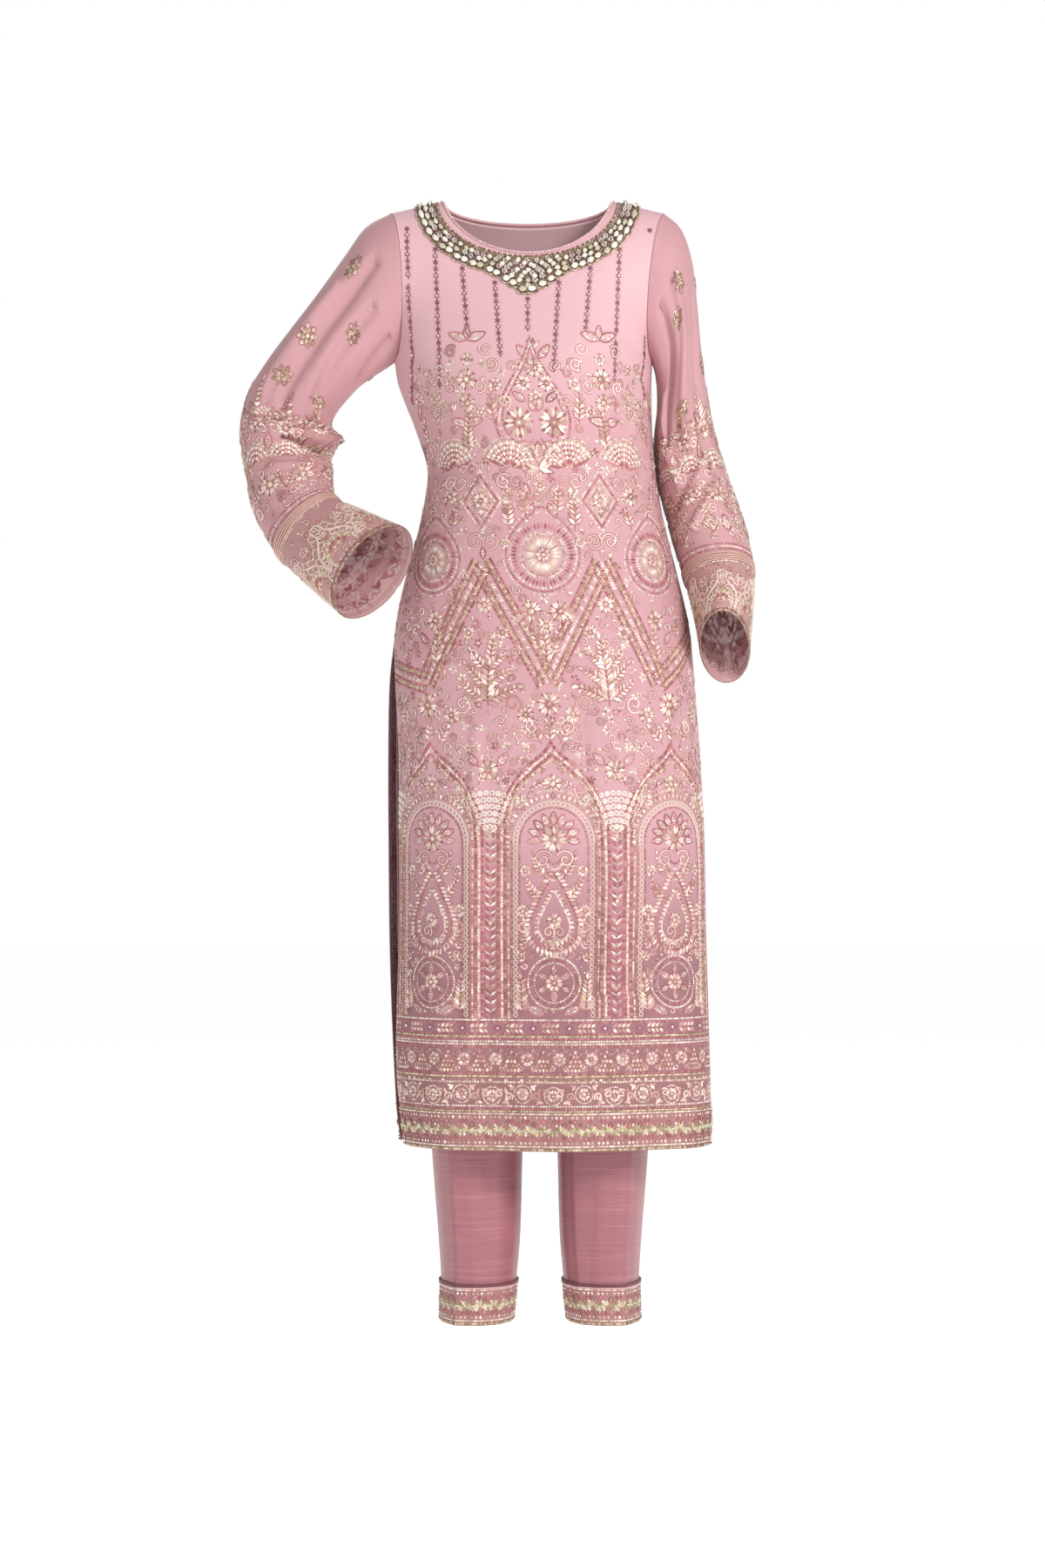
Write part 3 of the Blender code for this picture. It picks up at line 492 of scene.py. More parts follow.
class FlatSleeve:
  # a sleeve laid flat: x round it from the front, z down it from the shoulder
  def __init__(self, side, first, last):
    self.side = side
    self.sign = -1 if side == "right" else 1
    self.places = np.linspace(first, last, 200)
    table = sleeveTable(side)
    knots = np.arange(len(table))
    middle = np.stack([smoothCurve(knots, (table[:, 0] + table[:, 2]) / 2, self.places),
      smoothCurve(knots, table[:, 4], self.places), smoothCurve(knots, (table[:, 1] + table[:, 3]) / 2,
      self.places)], axis=-1)
    self.along = np.concatenate([[0], np.cumsum(np.linalg.norm(np.diff(middle, axis=0), axis=1))])
    wide = np.hypot(table[:, 0] - table[:, 2], table[:, 1] - table[:, 3]) / 2
    self.radius = smoothCurve(knots, np.sqrt((wide ** 2 + table[:, 5] ** 2) / 2), self.places)

  def seat(self, x, z):
    place = np.interp(-z, self.along, self.places)
    radius = np.interp(-z, self.along, self.radius)
    return place, 270 + self.sign * np.degrees(x / radius)

  def flat(self, x, z):
    # the flat place under a point seen from the front
    place, turn = np.meshgrid(np.linspace(.1, self.places[-1], 160), np.linspace(182, 358, 90))
    points = sleevePoints(self.side, place, turn)
    best = np.argmin((points[..., 0] - x) ** 2 + (points[..., 2] - z) ** 2)
    place, turn = place.flat[best], turn.flat[best]
    radius = np.interp(place, self.places, self.radius)
    return self.sign * radians(turn - 270) * radius, -float(np.interp(place, self.places, self.along))

  def lift(self, x, z, high):
    place, turn = self.seat(x, z)
    here = sleevePoints(self.side, place, turn)
    aside = sleevePoints(self.side, place, turn + .6) - sleevePoints(self.side, place, turn - .6)
    below = (sleevePoints(self.side, np.minimum(place + .01, 12), turn)
      - sleevePoints(self.side, place - .01, turn))
    normal = np.cross(aside, below)
    centre = sleevePoints(self.side, place, turn + 180)
    normal *= np.sign((normal * (here - centre)).sum(axis=1))[:, None]
    return raised(here, normal, high)


trousers = {
  "thickness": .001, "middle": .0145, "creaseTurn": 55.0, "creaseHalf": 32.0, "creaseRise": .1,
  "borderTop": -1.262, "hem": -1.306, "top": -.3523,
  "rows": [  # z, outseam, inner edge, turn, front depth, back depth
    (-.352, .119, 0.0, 90, .076, .058), (-.45, .138, 0.0, 90, .087, .083),
    (-.54, .15, 0.0, 97, .09, .1), (-.58, .151, 0.0, 120, .089, .098),
    (-.61, .15, 0.0, 165, .086, .092), (-.63, .149, .002, 180, .083, .088),
    (-.72, .144, .007, 180, .078, .081), (-.85, .138, .012, 180, .072, .075),
    (-1.0, .133, .017, 180, .067, .07), (-1.12, .126, .02, 180, .065, .066),
    (-1.21, .119, .0225, 180, .064, .064), (-1.262, .116, .027, 180, .065, .064),
    (-1.306, .117, .031, 180, .066, .064)],
  # long soft folds: share across the panel, z, to share, z, half width in shares, rise
  "creases": {
    "right": [(.2, -.6, .16, -1.3, .07, .0022), (.55, -.85, .6, -1.29, .08, -.003),
         (.78, -.8, .82, -1.28, .07, .0024), (.42, -1.0, .46, -1.27, .05, .0018)],
    "left": [(.22, -.65, .18, -1.29, .07, .0022), (.56, -.9, .6, -1.3, .08, -.0026),
        (.83, -1.02, .8, -1.31, .05, -.006), (.74, -1.05, .7, -1.31, .05, .0045)],
  },
}


def legPoints(side, face, z, share, proud=0.0):
  rows = np.array(trousers["rows"])
  out, inner, turn, front, back = (smoothCurve(-rows[:, 0], rows[:, i], -z) for i in range(1, 6))
  inner = inner + .0006
  reach = np.radians(np.minimum(turn, 180))
  wide = (out - inner) / (1 - np.cos(reach))
  angle = share * reach
  rise = 1 + trousers["creaseRise"] * softBump(np.degrees(angle) - trousers["creaseTurn"],
    trousers["creaseHalf"])
  ridge = .055 * np.exp(-np.abs(np.degrees(angle) - trousers["creaseTurn"]) / 3.0)
  rise = lerp(1.0, rise + ridge, softStep(.45, .75, -z))
  x = out - wide + (wide + proud) * np.cos(angle)
  depth = ((front if face == "front" else back) + proud) * np.sin(angle) * rise
  soft = foldAlong(share, z, trousers["creases"][side])
  depth = depth + soft * np.sin(np.pi * share)
  depth = np.maximum(depth, .00045)
  sign = 1 if side == "left" else -1
  return np.stack([trousers["middle"] + sign * x, depth if face == "back" else -depth, z + 0 * x], axis=-1)


def legLoop(side, z, count, proud):
  # once round a leg: the front from the outseam in, then the back out again
  share = np.linspace(0, 1, count)
  front = legPoints(side, "front", np.full(count, z), share, proud)
  back = legPoints(side, "back", np.full(count, z), share[::-1], proud)
  return np.concatenate([front[:-1], back[:-1]])


class FlatLeg:
  # a leg's border laid flat: x round the leg from its front crease, z its height
  def __init__(self, side, proud):
    self.side, self.proud = side, proud
    loop = legLoop(side, -1.285, 61, proud)
    closed = np.concatenate([loop, loop[:1]])
    arc = np.concatenate([[0], np.cumsum(np.linalg.norm(np.diff(closed, axis=0), axis=1))])
    self.round = arc[-1]
    self.arc, self.share = arc, np.linspace(0, 1, len(arc))
    self.sign = 1 if side == "right" else -1
    self.start = np.interp(.15, self.share, arc)

  def points(self, x, z, proud):
    along = (self.start + self.sign * x) % self.round
    share = np.interp(along, self.arc, self.share)
    front = legPoints(self.side, "front", z, np.clip(share * 2, 0, 1), proud)
    back = legPoints(self.side, "back", z, np.clip(2 - share * 2, 0, 1), proud)
    return np.where(share[:, None] < .5, front, back)

  def lift(self, x, z, high):
    here = self.points(x, z, self.proud)
    aside = self.points(x + .0015, z, self.proud) - self.points(x - .0015, z, self.proud)
    normal = np.stack([aside[:, 1], -aside[:, 0], 0 * aside[:, 0]], axis=-1)
    middle = np.array((trousers["middle"] + (.07 if self.side == "left" else -.07), 0, 0))
    normal *= np.sign((normal * (here - middle) * (1, 1, 0)).sum(axis=1))[:, None]
    return raised(here, normal, high)


# cloth pieces

def linkPiece(name, mesh, finish, nodes):
  mesh.materials.append(finish.material)
  piece = bpy.data.objects.new(name, mesh)
  bpy.context.scene.collection.objects.link(piece)
  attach(piece, "root")
  if nodes:
    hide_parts(*nodes)
  return piece


def meshFrom(name, points, faces, corners, smooth=True):
  # corners: one map place for each corner of each face
  mesh = bpy.data.meshes.new(name)
  faces = np.asarray(faces, dtype=np.int32)
  count, sides = faces.shape
  mesh.vertices.add(len(points))
  mesh.vertices.foreach_set("co", np.asarray(points, np.float32).ravel())
  mesh.loops.add(count * sides)
  mesh.loops.foreach_set("vertex_index", faces.ravel())
  mesh.polygons.add(count)
  mesh.polygons.foreach_set("loop_start", np.arange(0, count * sides, sides, dtype=np.int32))
  mesh.polygons.foreach_set("use_smooth", np.full(count, smooth))
  layer = mesh.uv_layers.new(name="OFBake")
  mesh.update(calc_edges=True)
  layer.data.foreach_set("uv", np.asarray(corners, np.float32).ravel())
  mesh.validate()
  return mesh


def clothPiece(name, points, thickness, finish, nodes, loop=False):
  # a closed thin wall: the points are its outer side
  rows, columns = points.shape[:2]
  if loop:
    aside = np.roll(points, -1, axis=1) - np.roll(points, 1, axis=1)
  else:
    aside = np.gradient(points, axis=1)
  normal = np.cross(aside, np.gradient(points, axis=0))
  normal /= np.linalg.norm(normal, axis=2, keepdims=True) + 1e-12
  centre = points.mean(axis=1, keepdims=True)
  if not loop:
    centre = np.array((.02, 0.0, 0.0)) + centre * (0, 0, 1)
  flip = (normal * (points - centre)).sum() < 0
  normal = -normal if flip else normal
  inner = points - normal * thickness
  index = np.arange(rows * columns).reshape(rows, columns)
  steps = columns if loop else columns - 1
  column = np.arange(steps)
  after = (column + 1) % columns
  us, vs = np.linspace(.012, .488, steps + 1), np.linspace(.99, .01, rows)

  def quads(a, b, c, d, corners, turned):
    face = np.stack([a, b, c, d], axis=-1).reshape(-1, 4)
    place = np.stack(corners, axis=-2).reshape(-1, 4, 2)
    return (face[:, ::-1], place[:, ::-1]) if turned else (face, place)

  def corner(u, v):
    return np.stack(np.broadcast_arrays(u, v), axis=-1)

  up, low = vs[:-1, None], vs[1:, None]
  left, right = us[None, :-1], us[None, 1:]
  made = []
  for base, shift, turned in ((0, 0.0, not flip), (rows * columns, .5, flip)):
    made.append(quads(base + index[:-1][:, column], base + index[:-1][:, after], base + index[1:][:, after],
      base + index[1:][:, column], [corner(left + shift, up), corner(right + shift, up),
      corner(right + shift, low), corner(left + shift, low)], not turned))
  size = rows * columns
  for row, v, rim, turned in ((0, vs[0], .008, flip), (rows - 1, vs[-1], -.008, not flip)):
    line, us0, us1 = index[row], us[:-1], us[1:]
    made.append(quads(line[column], line[after], line[after] + size, line[column] + size,
      [corner(us0, v), corner(us1, v), corner(us1, v + rim), corner(us0, v + rim)], not turned))
  if not loop:
    for at, u, rim, turned in ((0, us[0], -.008, not flip), (columns - 1, us[-1], .008, flip)):
      line = index[:, at]
      made.append(quads(line[:-1], line[1:], line[1:] + size, line[:-1] + size,
        [corner(u, vs[:-1]), corner(u, vs[1:]), corner(u + rim, vs[1:]), corner(u + rim, vs[:-1])],
        not turned))
  faces = np.concatenate([face for face, place in made])
  places = np.concatenate([place for face, place in made])
  mesh = meshFrom(name, np.concatenate([points.reshape(-1, 3), inner.reshape(-1, 3)]), faces, places)
  return linkPiece(name, mesh, finish, nodes)


def tubeMesh(line, radius, sides):
  # a round cord along a closed line of points
  count = len(line)
  ahead = unit(np.roll(line, -1, axis=0) - np.roll(line, 1, axis=0))
  up = np.array((.03, .02, 1.0)) + 0 * line
  aside = unit(np.cross(ahead, up))
  up = np.cross(aside, ahead)
  turn = 2 * pi * np.arange(sides) / sides
  ring = aside[:, None] * np.cos(turn)[None, :, None] + up[:, None] * np.sin(turn)[None, :, None]
  points = (line[:, None] + ring * radius).reshape(-1, 3)
  index = np.arange(count * sides).reshape(count, sides)
  a, b = index, np.roll(index, -1, axis=0)
  faces = np.stack([a, b, np.roll(b, -1, axis=1), np.roll(a, -1, axis=1)], axis=-1).reshape(-1, 4)
  v0 = np.arange(count)[:, None] / count * .96 + .02 + np.zeros((1, sides))
  v1 = v0 + .96 / count
  u0 = np.arange(sides)[None, :] / sides * .96 + .02 + np.zeros((count, 1))
  u1 = u0 + .96 / sides
  places = np.stack([np.stack([u0, v0], -1), np.stack([u0, v1], -1), np.stack([u1, v1], -1),
    np.stack([u1, v0], -1)], axis=-2).reshape(-1, 4, 2)
  return points, faces, places


def joinedMesh(name, parts):
  points, faces, places, base = [], [], [], 0
  for part in parts:
    points.append(part[0])
    faces.append(part[1] + base)
    places.append(part[2])
    base += len(part[0])
  return meshFrom(name, np.concatenate(points), np.concatenate(faces), np.concatenate(places))


# needlework: stitches are gathered flat, then laid on the cloth

def polygon(sides, radius, high, turn=0.0):
  angles = [2 * pi * (i + turn) / sides for i in range(sides)]
  return [(radius * cos(a), radius * sin(a), high) for a in angles]


def ringFaces(sides, low, high):
  faces = []
  for i in range(sides):
    j = (i + 1) % sides
    faces += [(low + i, low + j, high + j), (low + i, high + j, high + i)]
  return faces


def capFaces(sides, low, top):
  return [(low + i, low + (i + 1) % sides, top) for i in range(sides)]


def stitchShapes():
  # each shape is its points (along, across, high) and its faces, one unit long and wide
  leaf = [(0, 0, .1), (.33, .5, 0), (.33, 0, 1), (.33, -.5, 0), (.7, .36, 0), (.7, 0, .9), (.7, -.36, 0),
    (1, 0, .1)]
  leafFaces = [(0, 2, 1), (0, 3, 2), (1, 2, 5), (1, 5, 4), (2, 3, 6), (2, 6, 5), (4, 5, 7), (5, 6, 7)]
  seed = [(0, 0, .1), (.45, .5, 0), (1, 0, .1), (.45, -.5, 0), (.48, 0, 1)]
  star = []
  for i in range(12):
    radius = .5 if i % 2 == 0 else .2
    star.append((radius * cos(pi * i / 6), radius * sin(pi * i / 6), 0))
  shapes = {
    "leaf": (leaf, leafFaces),
    "seed": (seed, [(0, 1, 4), (1, 2, 4), (2, 3, 4), (3, 0, 4)]),
    "star": (star + [(0, 0, 1)], capFaces(12, 0, 12)),
    "dot": (polygon(6, .5, 0) + [(0, 0, 1)], capFaces(6, 0, 6)),
    "bead": (polygon(5, .5, 0) + polygon(5, .42, .62, .5) + [(0, 0, 1)],
      ringFaces(5, 0, 5) + capFaces(5, 5, 10)),
    "ring": (polygon(8, .5, 0) + polygon(8, .38, 1) + polygon(8, .25, 0),
      ringFaces(8, 0, 8) + ringFaces(8, 8, 16)),
    "spark": (polygon(5, .5, 0) + polygon(5, .3, 1) + [(0, 0, 1.01)],
      ringFaces(5, 0, 5) + capFaces(5, 5, 10)),
    "gem": (polygon(8, .5, 0, .5) + polygon(8, .5, .45, .5) + polygon(8, .3, 1, .5) + [(0, 0, 1.01)],
      ringFaces(8, 0, 8) + ringFaces(8, 8, 16) + capFaces(8, 16, 24)),
  }
  return {name: (np.array(points, float), np.array(faces)) for name, (points, faces) in shapes.items()}


shapes = stitchShapes()


class Needlework:
  # all the stitches on one flat piece, kept by thread
  def __init__(self, name, flat):
    self.name, self.flat = name, flat
    self.stitches, self.cords, self.taken = {}, {}, []

  def add(self, thread, shape, x, z, angle, long, wide, high=.0006, shade=None, base=.00015):
    shade = chance.uniform(.05, .95) if shade is None else shade
    rows = self.stitches.setdefault(thread, {}).setdefault(shape, [])
    rows.append((x, z, angle, long, wide, high, shade, base))

  def put(self, thread, shape, x, z, turn, along, *form):
    # a stitch that starts some way along its own heading
    self.add(thread, shape, *turnedBy(x, z, turn, along, 0), turn, *form)

  def cord(self, thread, line, wide=.0012, high=.0006, shade=None):
    shade = chance.uniform(.1, .9) if shade is None else shade
    self.cords.setdefault(thread, []).append((np.asarray(line, float), wide, high, shade))

  def keepClear(self, x, z, radius):
    self.taken.append((x, z, radius))

  def free(self, x, z, gap):
    taken = np.array(self.taken or [(9.0, 9.0, 0.0)])
    return bool(((x - taken[:, 0]) ** 2 + (z - taken[:, 1]) ** 2 > (taken[:, 2] + gap) ** 2).all())

  def gatherStitches(self, shape, rows):
    points, faces = shapes[shape]
    x, z, angle, long, wide, high, shade, base = np.array(rows).T[:, :, None]
    a, b = points[:, 0] * long, points[:, 1] * wide
    flatX = x + a * np.cos(angle) - b * np.sin(angle)
    flatZ = z + a * np.sin(angle) + b * np.cos(angle)
    squeeze = 1 - .3 * points[:, 2] if shape in ("gem", "bead", "spark") else 1.0
    u = .02 + .94 * shade + .009 * points[:, 0] * squeeze
    v = chance.uniform(.03, .95, x.shape) + .009 * points[:, 1] * squeeze
    allFaces = (faces[None] + (np.arange(len(rows)) * len(points))[:, None, None]).reshape(-1, 3)
    return [flatX.ravel(), flatZ.ravel(), (points[:, 2] * high + base).ravel(), u.ravel(),
      v.ravel()], allFaces

  def gatherCord(self, line, wide, high, shade):
    ahead = np.gradient(line, axis=0)
    ahead /= np.linalg.norm(ahead, axis=1, keepdims=True) + 1e-12
    aside = np.stack([-ahead[:, 1], ahead[:, 0]], axis=-1) * wide / 2
    count = len(line)
    flat = np.stack([line + aside, line, line - aside], axis=1)
    lift = np.tile((.00012, high, .00012), (count, 1))
    share = np.linspace(0, 1, count)[:, None]
    u = .02 + .94 * shade + .012 * share + np.zeros((1, 3))
    v = chance.uniform(.03, .95) + np.array((.006, 0.0, -.006))[None] + 0 * share
    index = np.arange(count * 3).reshape(count, 3)
    a, b, c, d = index[:-1, :-1], index[:-1, 1:], index[1:, 1:], index[1:, :-1]
    faces = np.concatenate([np.stack([a, c, b], -1).reshape(-1, 3), np.stack([a, d, c], -1).reshape(-1, 3)])
    return [flat[..., 0].ravel(), flat[..., 1].ravel(), lift.ravel(), u.ravel(), v.ravel()], faces

  def gather(self, thread):
    parts = [self.gatherStitches(shape, rows) for shape, rows in self.stitches.get(thread, {}).items()
      if rows]
    parts += [self.gatherCord(*row) for row in self.cords.get(thread, [])]
    faces, base = [], 0
    for values, own in parts:
      faces.append(own + base)
      base += len(values[0])
    return [np.concatenate([values[i] for values, own in parts]) for i in range(5)], np.concatenate(faces)

  def lay(self, threads, finishes):
    pieces = []
    for thread in threads:
      if not any(self.stitches.get(thread, {}).values()) and not self.cords.get(thread):
        continue
      (x, z, high, u, v), faces = self.gather(thread)
      points = self.flat.lift(x, z, high)
      first, second, third = (points[faces[:, i]] for i in range(3))
      flatTurn = ((x[faces[:, 1]] - x[faces[:, 0]]) * (z[faces[:, 2]] - z[faces[:, 0]])
        - (x[faces[:, 2]] - x[faces[:, 0]]) * (z[faces[:, 1]] - z[faces[:, 0]]))
      outward = self.flat.lift(x[faces[:, 0]], z[faces[:, 0]], high[faces[:, 0]] + .001) - first
      wrong = (np.cross(second - first, third - first) * outward).sum(axis=1) < 0
      steep = np.abs(flatTurn) < 1e-12
      faces[wrong & ~steep] = faces[wrong & ~steep][:, ::-1]
      corners = np.stack([u[faces], v[faces]], axis=-1)
      mesh = meshFrom(self.name + "." + thread, points, faces, corners, thread not in ("crystal", "stone"))
      pieces.append(linkPiece(self.name + "." + thread, mesh, finishes[thread], ()))
      print("  needlework", self.name, thread, len(faces), "triangles")
    return pieces


# lines on flat cloth

def turnedBy(x, z, angle, along, aside):
  return (x + along * cos(angle) - aside * sin(angle), z + along * sin(angle) + aside * cos(angle))


def arcLine(x, z, radius, start, end, count=10):
  angles = np.radians(np.linspace(start, end, count))
  return np.stack([x + radius * np.cos(angles), z + radius * np.sin(angles)], axis=-1)


def throughPoints(knots, step=.003):
  # an even line through given points, rounded at each
  knots = np.asarray(knots, float)
  along = np.concatenate([[0], np.cumsum(np.hypot(*np.diff(knots, axis=0).T))])
  at = np.linspace(0, along[-1], max(int(along[-1] / step), 2) + 1)
  return np.stack([smoothCurve(along, knots[:, 0], at), smoothCurve(along, knots[:, 1], at)], axis=-1)


def straight(x0, z0, x1, z1, step=.006):
  count = max(int(hypot(x1 - x0, z1 - z0) / step), 1) + 1
  return np.stack([np.linspace(x0, x1, count), np.linspace(z0, z1, count)], axis=-1)


def evenly(line, pitch):
  # points and headings every pitch along a line
  along = np.concatenate([[0], np.cumsum(np.hypot(*np.diff(line, axis=0).T))])
  at = np.linspace(0, along[-1], max(int(round(along[-1] / pitch)), 1) + 1)
  x, z = np.interp(at, along, line[:, 0]), np.interp(at, along, line[:, 1])
  heading = np.arctan2(np.gradient(z), np.gradient(x))
  return zip(x, z, heading)


# stitched rows

def beadRow(work, line, pitch=.003, size=.0026, thread="ivory", shape="dot", high=.001):
  for x, z, heading in evenly(line, pitch):
    work.add(thread, shape, x, z, heading, size, size, high)


def rope(work, line, thread="gold", wide=.002):
  # a twisted cord of short slanted stitches
  for x, z, heading in evenly(line, .0021):
    turn = heading + .6
    work.put(thread, "seed", x, z, turn, -.75 * wide, 1.5 * wide, .85 * wide, .0009)


def barRow(work, line, pitch, long, wide, thread="ivory", slant=90):
  # short satin bars across a line
  for x, z, heading in evenly(line, pitch):
    angle = heading + radians(slant)
    work.put(thread, "seed", x, z, angle, -long / 2, long, wide, .0008)


# motifs

def leafStitch(work, x, z, angle, long, wide, fill="ivory", edge="rose"):
  # one leaf in two layers, so a darker edge shows all round
  work.put(edge, "leaf", x, z, angle, -.1 * long, 1.24 * long, 1.75 * wide, .0004)
  work.add(fill, "seed", x, z, angle, long, 1.25 * wide, .0008, None, .0004)


def petal(work, x, z, angle, long, wide, fill, edge):
  work.add(edge, "leaf", x, z, angle, long, 1.15 * wide, .0005)
  for aside in (-1, 1):
    turn = angle + .16 * aside
    work.add(fill, "seed", *turnedBy(x, z, angle, .14 * long, .17 * aside * wide), turn, .8 * long,
      .54 * wide, .0009, None, .0004)


def flower(work, x, z, radius, petals=6, fill="ivory", edge="rose"):
  start = chance.uniform(0, 360 / petals)
  wide = 1.45 * pi * radius / petals
  for k in range(petals):
    angle = radians(start + 360 * k / petals)
    petal(work, *turnedBy(x, z, angle, .2 * radius, 0), angle, .86 * radius, wide, fill, edge)
    if radius > .0095:
      work.add("gold", "dot", *turnedBy(x, z, angle + pi / petals, .86 * radius, 0), 0, .0022, .0022, .0009)
  work.add("gold", "dot", x, z, 0, .56 * radius, .56 * radius, .0012)
  work.add("crystal", "spark", x, z, 0, .3 * radius, .3 * radius, .0018)
  work.keepClear(x, z, radius)


def sprig(work, x, z, angle, length, pairs=4, bend=0.0, size=.32):
  # a stem with paired leaves; bend curls it to one side
  line = np.array([turnedBy(x, z, angle, length * t, bend * length * t * t) for t in np.linspace(0, 1, 6)])
  work.cord("rose", line, .0013, .0007)
  for k, (px, pz, heading) in enumerate(evenly(line, length / (pairs + .5))):
    if k == 0 or k > pairs:
      continue
    long = size * length * (1.05 - .5 * k / pairs)
    for side in (-1, 1):
      turn = heading + side * radians(46)
      leafStitch(work, px, pz, turn, long, long * .34, "ivory" if (k + (side > 0)) % 4 else "gold")
    if k % 2:
      work.keepClear(px, pz, long * .6)
  heading = atan2(line[-1][1] - line[-2][1], line[-1][0] - line[-2][0])
  leafStitch(work, *line[-1], heading, size * .7 * length, size * .3 * length)


def scroll(work, x, z, angle, size, hand=1, turns=1.3, wide=.0017):
  # a tail that ends in a spiral, pale on a darker edge
  line = []
  for t in np.linspace(0, 1, 17):
    spin = hand * 2 * pi * turns * t
    radius = size * (1 - .8 * t)
    line.append(turnedBy(x, z, angle, size - radius * cos(spin), radius * sin(spin)))
  line = np.array(line)
  work.cord("rose", line, wide * 2.0, .0005)
  work.cord("ivory", line, wide * 1.1, .0011)
  work.keepClear(*line[12], size * .6)


def leafEye(work, x, z, angle, length, wide):
  # a broad leaf: a corded outline filled with slanting stitches on both sides of its rib
  side = [(0, 0), (.3, .47), (.6, .46), (1.03, 0), (.6, -.46), (.3, -.47), (0, 0)]
  work.cord("rose", throughPoints([turnedBy(x, z, angle, length * a, wide * b) for a, b in side], .0035),
    .002, .0009)
  count = max(int(length / .003), 4)
  for k in range(count):
    t = (k + .5) / count
    reach = wide / 2 * sin(pi * min(t * 1.05, 1)) ** .8
    if reach < .0008:
      continue
    for hand in (-1, 1):
      px, pz = turnedBy(x, z, angle, length * t - .2 * reach, 0)
      work.add("ivory", "seed", px, pz, angle + hand * radians(58), reach * 1.15, .003, .0008)
  work.keepClear(*turnedBy(x, z, angle, length / 2, 0), length * .42)


def shellFan(work, x, z, angle, radius, spread=120, rays=9, arcs=4, ray="rose", bar="ivory", edge="gold"):
  # rays from one point, crossed by arcs of short bars, with a roped, beaded edge
  spreadR = radians(spread)
  for k in range(rays):
    turn = angle + spreadR * (k / (rays - 1) - .5)
    work.put(ray, "leaf", x, z, turn, .1 * radius, .9 * radius, .24 * radius, .0004)
  for arc in range(arcs):
    reach = radius * (.36 + .56 * arc / max(arcs - 1, 1))
    count = max(int(spreadR * reach / .0036), 3)
    for k in range(count):
      turn = angle + spreadR * ((k + .5) / count - .5)
      long = .74 * radius / arcs
      work.put(bar, "seed", x, z, turn, reach - long / 2, 1.05 * long, .0042, .0012, .5 + .4 * (k % 2), .0003)
  start, end = degrees(angle) - spread / 2, degrees(angle) + spread / 2
  rope(work, arcLine(x, z, radius * 1.02, start, end, 14), edge, .002)
  beadRow(work, arcLine(x, z, radius * 1.13, start, end, 16), .0036, .0028, bar)
  for side in (-.5, .5):
    turn = angle + spreadR * side
    rope(work, np.array([turnedBy(x, z, turn, 0, 0), turnedBy(x, z, turn, radius, 0)]), edge, .0018)
  work.keepClear(*turnedBy(x, z, angle, radius * .6, 0), radius * .66)


def beadDiamond(work, x, z, wide, high):
  for scale, thread, size in ((1.0, "ivory", .003), (.84, "rose", .003), (.66, "ivory", .0026),
      (.5, "gold", .0024)):
    knots = [(x, z + high / 2 * scale), (x + wide / 2 * scale, z), (x, z - high / 2 * scale),
      (x - wide / 2 * scale, z), (x, z + high / 2 * scale)]
    for a, b in zip(knots[:-1], knots[1:]):
      beadRow(work, straight(*a, *b), .003, size, thread)
  flower(work, x, z, .19 * wide, 6)
  for sz in (-1, 1):
    leafStitch(work, x, z + sz * high * .13, sz * pi / 2, .1 * high, .09 * wide)
    flower(work, x, z + sz * high * .57, .0052, 5)
    flower(work, x + sz * wide * .6, z, .0048, 5)
  work.keepClear(x, z, .52 * wide)


def sunDrop(work, x, z, scale=1.0):
  # a round sun of rays inside a pointed drop of beads and bars
  flower(work, x, z, .0085 * scale, 8, "ivory", "rose")
  for k in range(44):
    angle = 2 * pi * k / 44
    work.put("ivory" if k % 4 else "gold", "seed", x, z, angle, .0088 * scale, .0135 * scale, .0024 * scale,
      .0009, chance.uniform(.4, 1.0))
  rope(work, arcLine(x, z, .024 * scale, 0, 360, 30), "gold", .002)
  beadRow(work, arcLine(x, z, .0268 * scale, 0, 360, 30), .0031, .0028)
  for k in range(52):
    angle = 2 * pi * k / 52
    work.put("rose", "seed", x, z, angle, .0292 * scale, .0085 * scale, .0036 * scale, .0008)
  for reach, thread, size in ((.0385, "ivory", .0028), (.0425, "rose", .0026), (.0462, "ivory", .0024)):
    turn = np.linspace(0, 2 * pi, 41)
    point = 1 + .3 * np.clip(np.cos(turn), 0, None) ** 7
    line = np.stack([x - reach * scale * np.sin(turn), z + reach * scale * np.cos(turn) * point], axis=-1)
    beadRow(work, line, .003, size, thread)
  work.keepClear(x, z, .048 * scale)


def floret(work, x, z, size, thread="ivory"):
  # five dots round a sixth
  start = chance.uniform(0, 1.2)
  for k in range(5):
    turn = start + 2 * pi * k / 5
    work.put(thread, "seed", x, z, turn, .1 * size, .46 * size, .3 * size, .0007)
  work.add("gold", "dot", x, z, 0, .3 * size, .3 * size, .0011)


def tinyCurl(work, x, z, angle, size, hand):
  line = []
  for t in np.linspace(0, 1, 8):
    radius = size * .5 * (1 - .62 * t)
    spin = hand * 5.6 * t
    line.append(turnedBy(x, z, angle, -radius * cos(spin), radius * sin(spin)))
  work.cord("rose", np.array(line), .003, .0006)
  work.cord("ivory", np.array(line), .0015, .0013)
  leafStitch(work, *line[0], angle + hand * 2.2, size * .44, size * .17)
  work.add("gold", "dot", *line[-1], 0, .0019, .0019, .0009)


